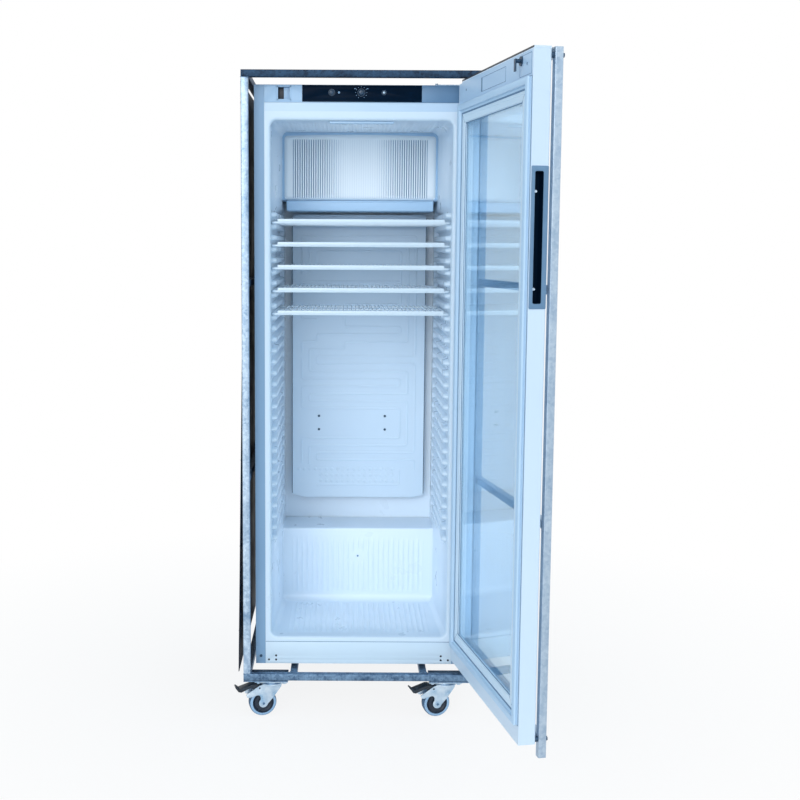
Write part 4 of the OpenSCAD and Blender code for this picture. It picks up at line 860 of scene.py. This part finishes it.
# The grooves between the cover's ribs are also coloured dark: painted shade.
groove_painted_shade = cover_white.band(rib_place, 0.1, 0.2, 1, 0)
for limits in ((cover_x, 0.0435, 0.14, 0.1, 1), (cover_x, 0.2065, 0.2075, 1, 0),
               (cover_z, rib_foot, rib_foot + 0.004), (cover_z, rib_top, rib_top + 0.003, 1, 0)):
    groove_painted_shade *= cover_white.band(*limits)
cover_tint = cover_white.mix(cover_white.noise(3, 3), tone(236, 247, 254), tone(242, 250, 255))
cover_white.surface(Base_Color=cover_white.mix(groove_painted_shade, cover_tint, tone(96, 134, 172)),
                    Roughness=0.34, Normal=cover_white.bump(cover_white.noise(260, 2), 0.0003, 0.12))
make_piece("evaporator cover", skin(cover_columns, cover_rows, cover_point), in_cabinet, cover_white,
           "evaporator_cover", crease=60)

tray_blue = coat(
    "tray plastic", "liner", (6, 3), (172, 207, 237), (180, 213, 241), 0.36, (260, 2, 0.0003, 0.12))
# A flat sheet behind the cover fills the gap around it, and its darker tone stands for the shade in that
# gap: painted shade.
cover_gap_sheet = blocks(((-241, COVER_FRONT + 7, cover_low.z + 2),
                    (241, COVER_FRONT + 9, MOUTH_HIGH - 0.5), 0.4))
make_piece("cover gap shade", cover_gap_sheet, in_cabinet, tray_blue)

clips = bmesh.new()
for side in (-1, 1):
    x = side * 237
    block(clips, (x - 1.6, COVER_FRONT + 12, 1384), (x + 1.6, COVER_FRONT + 18, 1394), 0.6)
    x = side * 232
    block(clips, (x - 6, COVER_FRONT + 6, 1352), (x + 6, COVER_FRONT + 16, 1356), 0.8)
make_piece("cover clips", clips, in_cabinet, grey_plastic)

tray_low, tray_high = span_mm(in_cabinet, "drip_tray")
tray = blocks((tray_low, tray_high, 4, 4), ((tray_low.x + 14, tray_low.y - 1.5, tray_high.z - 5),
                                            (tray_high.x - 14, tray_low.y + 4, tray_high.z - 1), 1))
make_piece("drip tray", tray, in_cabinet, tray_blue, "drip_tray")

dark_metal = coat(
    "dark enamel", "dark_metal", (35, 4), (14, 24, 34), (38, 52, 66), 0.45, (300, 3, 0.0003, 0.3))
paint(dark_metal, "fan_motor")
paint(grey_plastic, "fan_rotor")

# The evaporator is a plate rolled from two aluminium sheets, with the channels blown up between them.
# It hangs on four screws with spacers, behind the shelves.
PLATE_FACE = 470
PLATE_HALF = 214
PLATE_BOTTOM = 395
PLATE_TOP = 1315
PLATE_THICK = 1.6
plate_paint = coat(
    "evaporator plate", "plate_alu", (4, 3), (196, 217, 235), (207, 226, 241), 0.36, (180, 3, 0.0003, 0.2))
plate = bmesh.new()
half_outline = [(PLATE_HALF - 8, PLATE_TOP), (PLATE_HALF, PLATE_TOP - 8), (PLATE_HALF, PLATE_BOTTOM + 10),
                (PLATE_HALF - 3, PLATE_BOTTOM + 8), (PLATE_HALF - 34, PLATE_BOTTOM)]
outline = half_outline + [(-x, z) for x, z in reversed(half_outline)]
sheet = bmesh.ops.contextual_create(plate, geom=[plate.verts.new((x, PLATE_FACE, z)) for x, z in outline])
thick = bmesh.ops.extrude_face_region(plate, geom=sheet["faces"])
back_verts = [v for v in thick["geom"] if isinstance(v, bmesh.types.BMVert)]
bmesh.ops.translate(plate, verts=back_verts, vec=(0, PLATE_THICK, 0))

CHANNEL_HALF = 3.75
CHANNEL_HIGH = 1.1
CHANNEL_TURN = 9
CHANNEL_PITCH = 24.3
CHANNEL_ROW_0 = 956
OUTER_COLUMN = 184


def on_grid(column, row):
    """A place on the channels' grid: columns count outwards, and 0 is where a channel jogs."""
    x = -45 if column == 0 else copysign(OUTER_COLUMN - CHANNEL_PITCH * (3 - abs(column)), column)
    return Vector((x, PLATE_FACE, CHANNEL_ROW_0 - CHANNEL_PITCH * row))


def join_rings(drawing, rings):
    """Faces from each ring of vertices to the next."""
    for one, two in zip(rings, rings[1:]):
        for k in range(len(one)):
            drawing.faces.new((one[k], one[k - 1], two[k - 1], two[k]))


def channel(drawing, *route):
    """A flattened half-round channel along a route of grid places, with rounded turns."""
    places = [on_grid(*place) for place in route]
    line = [places[0]]
    for before, corner, after in zip(places, places[1:], places[2:]):
        entry = corner + (before - corner).normalized() * CHANNEL_TURN
        leave = corner + (after - corner).normalized() * CHANNEL_TURN
        for i in range(5):
            t = i / 4
            line.append(entry * (1 - t) ** 2 + corner * 2 * t * (1 - t) + leave * t ** 2)
    line.append(places[-1])
    rings = []
    for i, place in enumerate(line):
        along = (line[min(i + 1, len(line) - 1)] - line[max(i - 1, 0)]).normalized()
        aside = Vector((along.z, 0, -along.x))
        rings.append([drawing.verts.new(place + aside * CHANNEL_HALF * cos(radians(a))
                                        + Vector((0, CHANNEL_HIGH * sin(radians(a)), 0)))
                      for a in range(0, 360, 45)])
    join_rings(drawing, rings)
    drawing.faces.new(rings[0])
    drawing.faces.new(rings[-1])


channel(plate, (-3, -7), (-3, -12), (3, -12), (3, 4), (-1, 4), (-1, 5), (3, 5), (3, 17), (-1, 17), (-1, 18),
        (3, 18), (3, 19.3))
channel(plate, (-2, -7), (-2, -11), (2, -11), (2, 2), (0, 2), (0, 3), (-2, 3), (-2, 6), (2, 6), (2, 9),
        (-2, 9), (-2, 10), (2, 10), (2, 16), (-2, 16), (-2, 18.6))
channel(plate, (-1, -8), (-1, -10), (1, -10), (1, -3), (0, -3), (0, 0), (1, 0), (1, 1), (-1, 1), (-1, 2),
        (-3, 2), (-3, 3.5))
channel(plate, (-3, 4.3), (-3, 7), (1, 7), (1, 8), (-3, 8), (-3, 11), (1, 11), (1, 15), (-3, 15),
        (-3, 18.4))
channel(plate, (1, -5), (-3, -5), (-3, -6), (1, -6))
channel(plate, (-1, -2), (-3, -2), (-3, -1), (-1, -1))
channel(plate, (-1, 21.4), (1, 21.4), (1, 19.4))
for row in range(3):
    for column in range(14 if row else 18):
        knot = Matrix.Translation((113 - 18 * column, PLATE_FACE, 488 - 19.5 * row))
        knot @= Matrix.Diagonal((6, 1.2, 6, 1))
        bmesh.ops.create_icosphere(plate, subdivisions=2, radius=1, matrix=knot)
make_piece("evaporator plate", plate, in_cabinet, plate_paint, "evaporator_plate", crease=50)

bright_steel = coat("bright steel", "bright_steel", (120, 3), (150, 176, 200), (206, 222, 236),
                    (60, 3, 0.2, 0.4), Metallic=0.85)
dark_screw = coat("dark screws", "bright_steel", (120, 3), (34, 58, 82), (70, 98, 124), 0.4, Metallic=0.5)
paint(dark_screw, "screws")
# Thin dark strips along the plate's long edges stand for the shadow in the gaps beside them: painted
# shadow.
plate_edge_shadows = bmesh.new()
for side in (-1, 1):
    shadow_span = sorted((side * (PLATE_HALF + 0.1), side * (PLATE_HALF + 1.9)))
    block(plate_edge_shadows, (shadow_span[0], PLATE_FACE + 0.3, PLATE_BOTTOM + 12),
          (shadow_span[1], PLATE_FACE + 6, PLATE_TOP - 10), 0.4)
make_piece("plate edge shadows", plate_edge_shadows, in_cabinet, dark_screw)

# The shelves are welded wire, coated white. The front edge is a flat strip that stops things rolling out,
# and more wires, as thick as the grid's, lie between those of the solid.
coated_wire = coat("white coated wire", "shelf_white", (20, 3), (226, 240, 251), (236, 247, 254), 0.3,
                   (400, 2, 0.0002, 0.2))
WIRE = 1.7
WIRES_BETWEEN = 18
WIRE_REACH = 226
SHELF_DEEP = 418
for n in range(1, 6):
    node = f"shelf_{n}"
    paint(coated_wire, node)
    low, high = span_mm(in_cabinet, node)
    front = blocks(((-236.5, low.y - 0.6, low.z + 3.5), (236.5, low.y + 5.4, low.z + 13.3), 2.2, 3))
    for i in range(WIRES_BETWEEN):
        x = -WIRE_REACH + (i + 0.5) * 2 * WIRE_REACH / WIRES_BETWEEN
        peg(front, (x, low.y + 4 + SHELF_DEEP / 2, low.z + 7.1), WIRE, WIRE, SHELF_DEEP, 8)
    make_piece(f"shelf front {n}", front, in_cabinet, coated_wire, body=node)

# The compressor, condenser, copper pipes and drain sit in the bay at the back and on the rear wall.
copper = coat(
    "copper", "copper", (30, 4), (150, 88, 58), (206, 132, 92), (70, 3, 0.22, 0.45), Metallic=0.9)
paint(dark_metal, "compressor", "condenser")
paint(copper, "refrigerant_pipes")
paint(black_plastic, "drain_parts", "power_inlet")

# The hinges are zinc-plated brackets with round pins, and a wire stay hooks over the top one.
paint(bright_steel, "door_hinges")

# The door is a frame of white coated profile around a double pane. Its top rail is plain inside,
# with shallow recesses, and a black cap closes its top.
door_white = coat(
    "door white", "door_white", (3, 3), (214, 229, 244), (222, 235, 247), 0.34, (500, 2, 0.0002, 0.15))
paint(door_white, "door_frame", "door_free_stile")
paint(black_plastic, "door_top_cap")
DOOR_IN = -12
DOOR_OUT = -56
FREE_EDGE = span_mm(in_door, "door_frame")[0].x
cap_end = blocks(((FREE_EDGE - 0.4, DOOR_OUT + 1, 1662), (FREE_EDGE + 16, DOOR_IN - 1, 1668.9), 1.2))
make_piece("cap end", cap_end, in_door, door_white, body="door")

# The gasket is a soft profile with a magnet inside. It has a bellows fold on each side of its face.
gasket_low, gasket_high = span_mm(in_door, "door_gasket")


def inset_by(inset):
    """The gasket's rectangle made smaller: x of both sides, z of both ends."""
    return gasket_low.x + inset, gasket_high.x - inset, gasket_low.z + inset, gasket_high.z - inset


def frame_loop(drawing, start, profile):
    """A mitred frame: each (inset, height) of the profile is a rectangle, and neighbours are joined."""
    rings = []
    for inset, height in profile:
        x0, x1, z0, z1 = inset_by(start + inset)
        rings.append([drawing.verts.new((x, DOOR_IN + height, z))
                      for x, z in ((x0, z0), (x1, z0), (x1, z1), (x0, z1))])
    join_rings(drawing, rings + rings[:1])


seal_grey = coat("gasket", "seal", (10, 3), (192, 218, 241), (204, 227, 246), 0.5, (300, 2, 0.0003, 0.2))
gasket = bmesh.new()
frame_loop(gasket, 0, [
    (0.3, 0.3), (0.6, 3), (2.6, 4), (2.6, 5.2), (0.6, 6.4), (0.8, 9.6), (2.2, 11), (4, 11.5), (15, 11.5),
    (17, 11), (18, 9.4), (17.6, 6.6), (19, 5), (20.6, 5.6), (22, 5.2), (25.4, 3.4), (25.7, 0.3)])
make_piece("gasket", gasket, in_door, seal_grey, "door_gasket", "door", crease=50)

# The glazing bead is a white profile mitred at the corners, with a stepped inner edge against the glass.
bead = bmesh.new()
BEAD_WIDTH = 28
BEAD_INSET = 26.3
frame_loop(bead, BEAD_INSET, [
    (0, 0.3), (0, 2.6), (1.2, 3.8), (9, 4.2), (9.6, 3.2), (10.6, 3.2), (11.2, 4.2), (23, 4.2), (25, 3.4),
    (26, 1.6), (BEAD_WIDTH, 1.0), (BEAD_WIDTH, -2), (BEAD_WIDTH - 5, -2), (BEAD_WIDTH - 5, 0.3)])
bead_white = coat(
    "bead white", "door_white", (5, 3), (216, 235, 250), (226, 241, 252), 0.36, (500, 2, 0.0002, 0.15))
make_piece("glazing bead", bead, in_door, bead_white, "door_inner_frame", "door", crease=30)

# Strips in painted shadow stand for the gaps that part the rail, the gasket, the bead and the glass.
seams = bmesh.new()
for inset, wide, high in ((-1.6, 2.4, 0.6), (24.4, 4.2, 4.6), (BEAD_INSET + BEAD_WIDTH - 1.4, 2.2, 1.8)):
    frame_loop(seams, inset, [(0, 0.3), (0, high), (wide, high), (wide, 0.3)])
make_piece("door seams", seams, in_door, seam_painted_shadow, body="door", crease=30)

mitres = bmesh.new()
half_cut = (BEAD_WIDTH * sqrt(2) - 3) / 2
x0, x1, z0, z1 = inset_by(BEAD_INSET + BEAD_WIDTH / 2)
for x, z, lean in ((x0, z0, 45), (x0, z1, -45), (x1, z0, 135), (x1, z1, -135)):
    cut = blocks(((-half_cut, -0.15, -0.35), (half_cut, 0.15, 0.35)))
    at = Matrix.Translation((x, DOOR_IN + 4.15, z)) @ Matrix.Rotation(-radians(lean), 4, "Y")
    bmesh.ops.transform(cut, matrix=at, verts=cut.verts)
    add_to(mitres, cut)
make_piece("mitre lines", mitres, in_door, dark_screw, body="door")

# Two panes with a spacer between them. The glass is faintly blue, mirrors the compartment at this
# shallow angle, and lets lamps through.
pane = Finish("pane", "pane")
MIRROR_TINT = tone(226, 240, 252)
grazing = pane.add("LayerWeight", {"Blend": 0.5}, out="Facing")
smears = pane.noise(7, 4)
mirror_face = pane.add("BsdfAnisotropic", {"Color": MIRROR_TINT, "Roughness": 0.02})
clear = pane.add("BsdfTransparent", {"Color": (0.9, 0.955, 0.985, 1)})
shadow_ray = pane.add("LightPath", out="Is Shadow Ray")
gloss = grazing.math("POWER", 5) * 0.95 + 0.04
share = (gloss + smears * 0.02) * (1 - shadow_ray)
glass = pane.add("MixShader", {0: share, 1: clear, 2: mirror_face})
pane.add("OutputMaterial", {0: glass})
paint(pane, "door_glass")
spacer_alu = coat("spacer", "plate_alu", (50, 3), (214, 232, 248), (232, 244, 254), 0.4, Metallic=0.1)
paint(spacer_alu, "glass_spacer")

# The top rail's inner face has a long shallow recess, a round plug at each end and the lock's own plate.
# A thin sheet in a darker, bluer copy of the door's white covers the top rail's inner face: painted shade.
rail_face_painted_shade = coat(
    "rail face shade", "door_white", (4, 3), (186, 213, 239), (198, 223, 245), 0.36, (500, 2, 0.0002, 0.15))
rail_shade_sheet = blocks(((-289, DOOR_IN - 0.3, 1604.5), (272, DOOR_IN + 0.4, 1661.5), 0.2, 1),
                    ((271.2, DOOR_IN - 0.3, 1604.5), (293, DOOR_IN + 0.4, 1659.4), 0.2, 1))
make_piece("rail face shade", rail_shade_sheet, in_door, rail_face_painted_shade, body="door")
TOP_FACE = DOOR_IN + 0.45
# The recesses' edges are thin bars in painted shadow.
rail_recess_shadows = bmesh.new()
for xs, zs in (((-103, 95), (1614, 1650)), ((-288, -206), (1608, 1656))):
    four_bars(rail_recess_shadows, xs, (TOP_FACE - 0.4, TOP_FACE + 0.5), zs, 0.9, 0.9, 0.2, 1)
make_piece("rail recess shadow lines", rail_recess_shadows, in_door, seam_painted_shadow, body="door")
rail_dots = blocks(((86, TOP_FACE - 0.4, 1615), (94, TOP_FACE + 0.35, 1649), 0.3, 1))
for x, z in ((232, 1637), (-256, 1634)):
    peg(rail_dots, (x, DOOR_IN + 0.3, z), 4, 3.4, 0.8, turn=-pi / 2)
make_piece("rail plugs", rail_dots, in_door, grey_plastic, body="door")

# The lock is a dark metal barrel with a turning cam that hooks behind the fascia.
round_off("door lock", "door_lock", 0.6, dark_screw, "lock", in_door)

# The grip is let into the free edge: a grey moulded surround with a deep black slot for the fingers.
grip_low, grip_high = span_mm(in_door, "handle_insert")
GRIP_FACE = grip_low.x
y0, y1 = grip_low.y, grip_high.y
z0, z1 = grip_low.z, grip_high.z


def edge_loop(drawing, x, y0, y1, z0, z1, corner):
    """A rounded rectangle on the door's free edge, as a loop of edges."""
    points = []
    for cy, cz, start in ((y1 - corner, z1 - corner, 0), (y0 + corner, z1 - corner, 90),
                          (y0 + corner, z0 + corner, 180), (y1 - corner, z0 + corner, 270)):
        for i in range(7):
            angle = radians(start + 15 * i)
            points.append(drawing.verts.new((x, cy + corner * cos(angle), cz + corner * sin(angle))))
    return [drawing.edges.new((points[i], points[(i + 1) % len(points)])) for i in range(len(points))]


def edge_skin(*loops):
    """A skin from rounded rectangle to rounded rectangle, and the last one's edges."""
    drawing = bmesh.new()
    rims = [edge_loop(drawing, *loop) for loop in loops]
    for one, two in zip(rims, rims[1:]):
        bmesh.ops.bridge_loops(drawing, edges=one + two)
    return drawing, rims[-1]


slot_y0, slot_y1 = y0 + 12, y1 - 9
slot_z0, slot_z1 = z0 + 12, z1 - 12
slot_rim = (GRIP_FACE + 1, slot_y0, slot_y1, slot_z0, slot_z1, 4)
surround, _ = edge_skin((GRIP_FACE + 1.6, y0, y1, z0, z1, 3), (GRIP_FACE + 0.4, y0, y1, z0, z1, 3),
                        (GRIP_FACE, y0 + 0.6, y1 - 0.6, z0 + 0.6, z1 - 0.6, 2.6),
                        (GRIP_FACE, slot_y0 - 1, slot_y1 + 1, slot_z0 - 1, slot_z1 + 1, 5), slot_rim)
make_piece("grip surround", surround, in_door, grey_plastic, "handle_insert", "door")
pocket, pocket_end = edge_skin(
    slot_rim, (GRIP_FACE + 14, slot_y0 + 0.5, slot_y1 - 0.5, slot_z0 + 1, slot_z1 - 1, 4),
    (GRIP_FACE + 22, slot_y0 + 3, slot_y1 - 3, slot_z0 + 4, slot_z1 - 4, 3))
bmesh.ops.contextual_create(pocket, geom=pocket_end)
make_piece("grip pocket", pocket, in_door, panel_black, body="door", inside=True)

grip_screw = bmesh.new()
lathe(grip_screw, [(0, 1.4), (1.6, 1.4), (1.6, 0.9), (2.6, 1.3), (3.2, 0.8), (3.4, 0), (0, 0)], 24)
for n, z in enumerate((z1 - 58, z0 + 46)):
    to_edge = Matrix.Translation((GRIP_FACE + 0.2, slot_y1 - 1.5, z)) @ Matrix.Rotation(-pi / 2, 4, "Y")
    make_piece(f"grip screw {n + 1}", grip_screw.copy(), in_door @ to_edge, bright_steel, body="door")
grip_screw.free()

# The gate is welded from the same tube as the cage and is bolted to the door through short spacers.
gate_low, gate_high = span_mm(in_door, "gate_frame")
gate = bmesh.new()
gate_out = gate_low.y
HINGE_STILE_FOOT = -6
tube(gate, (gate_low.x, gate_out, gate_low.z), (gate_low.x + TUBE, gate_out + TUBE, gate_high.z))
tube(gate, (gate_high.x - TUBE, gate_out, HINGE_STILE_FOOT), (gate_high.x, gate_out + TUBE, gate_high.z))
bars = (gate_high.z - TUBE, 1107, 550, 19)
for z in bars:
    tube(gate, (gate_low.x + TUBE, gate_out, z), (gate_high.x - TUBE, gate_out + TUBE, z + TUBE))
    for x in (gate_low.x + TUBE, gate_high.x - TUBE):
        for y in (gate_out, gate_out + TUBE):
            weld(gate, (x, y, z), (x, y, z + TUBE), 2.8)
# The gate's zinc is a brighter copy of the cage's: painted light.
gate_zinc_painted_light = zinc_finish("gate zinc with painted light", "galvanised", (146, 170, 194), (190, 206, 220), 0.34)
make_piece("gate", gate, in_door, gate_zinc_painted_light, "gate_frame", "door")

round_off("gate bolts", "gate_fixings", 0.3, dark_screw, "door", in_door)

# Each caster has a pressed zinc fork, a dark wheel with a soft tread, and, in front, a black brake lever.
caster_zinc = Finish("caster zinc", "caster_zinc")
plating = caster_zinc.noise(34, 4)
zinc_tones = caster_zinc.ramp(plating, (0.3, tone(150, 184, 212)), (0.75, tone(226, 238, 248)))
caster_zinc.surface(Base_Color=zinc_tones, Metallic=0.75,
                    Roughness=caster_zinc.band(plating, 0.3, 0.7, 0.24, 0.42),
                    Normal=caster_zinc.bump(caster_zinc.noise(160, 3), 0.0004, 0.2))
round_off("caster plates", "caster_plates", 0.5, caster_zinc)

tread = coat("caster tread", "tread", (60, 4), (50, 82, 114), (80, 112, 142), 0.62, (500, 3, 0.0003, 0.4))
hub_dark = coat("caster hub", "tread", (50, 3), (6, 22, 40), (24, 44, 64), 0.4)
tyre_side = coat("tyre side", "tread", (60, 3), (142, 174, 204), (166, 196, 222), 0.5)
nut_steel = coat("nut steel", "caster_zinc", (120, 3), (70, 102, 134), (112, 144, 176), 0.4, Metallic=0.5)

TRAIL_TURN = radians(14)
HALF_TYRE = [(31, 14), (36, 13.6), (38.6, 12), (39.6, 9), (40, 0)]
SIDE_RING = [(31, 14.4), (36, 14), (37.6, 13.2), (37.6, 12.8), (31, 13), (31, 14.4)]
HALF_HUB = [(4.2, 15), (11.5, 15), (12, 14.4), (13, 10), (24, 9), (28, 11.5), (29, 13.4), (30.2, 13.4)]
NUT = [(0, 22.4), (3.6, 22.4), (4, 22), (4, 20.4), (6.2, 20.4), (6.9, 19.8), (6.9, 17.9), (0, 17.9)]
for joint in frame["joints"]:
    if not joint["name"].endswith("wheel_roll"):
        continue
    name = joint["name"].removesuffix("_wheel_roll")
    axle = Vector(joint["pos_m"]) / MM
    upright = Matrix.Rotation(TRAIL_TURN, 4, "Z") @ Matrix.Rotation(pi / 2, 4, "X")
    at_axle = in_cage @ Matrix.Translation(axle) @ upright
    tyre = bmesh.new()
    lathe(tyre, [(r, -h) for r, h in HALF_TYRE] + HALF_TYRE[-2::-1] + [(30, 13), (30, -13), (31, -14)], 64)
    make_piece(f"{name} tyre", tyre, at_axle, tread, f"{name}_wheel", f"{name}_wheel")
    sides = bmesh.new()
    nuts = bmesh.new()
    for side in (-1, 1):
        lathe(sides, [(r, side * h) for r, h in SIDE_RING], 64)
        lathe(nuts, [(r, side * h) for r, h in NUT], 6)
    make_piece(f"{name} tyre sides", sides, at_axle, tyre_side, body=f"{name}_wheel")
    hub = bmesh.new()
    lathe(hub, HALF_HUB + [(r, -h) for r, h in reversed(HALF_HUB)] + HALF_HUB[:1], 48)
    make_piece(f"{name} hub", hub, at_axle, hub_dark, body=f"{name}_wheel")
    make_piece(f"{name} nuts", nuts, at_axle, nut_steel, body=f"{name}_swivel")
    round_off(f"{name} fork", f"{name}_fork", 0.5, caster_zinc, f"{name}_swivel")
    if name.startswith("front"):
        round_off(f"{name} brake", f"{name}_brake", 0.6, dark_metal, f"{name}_brake")
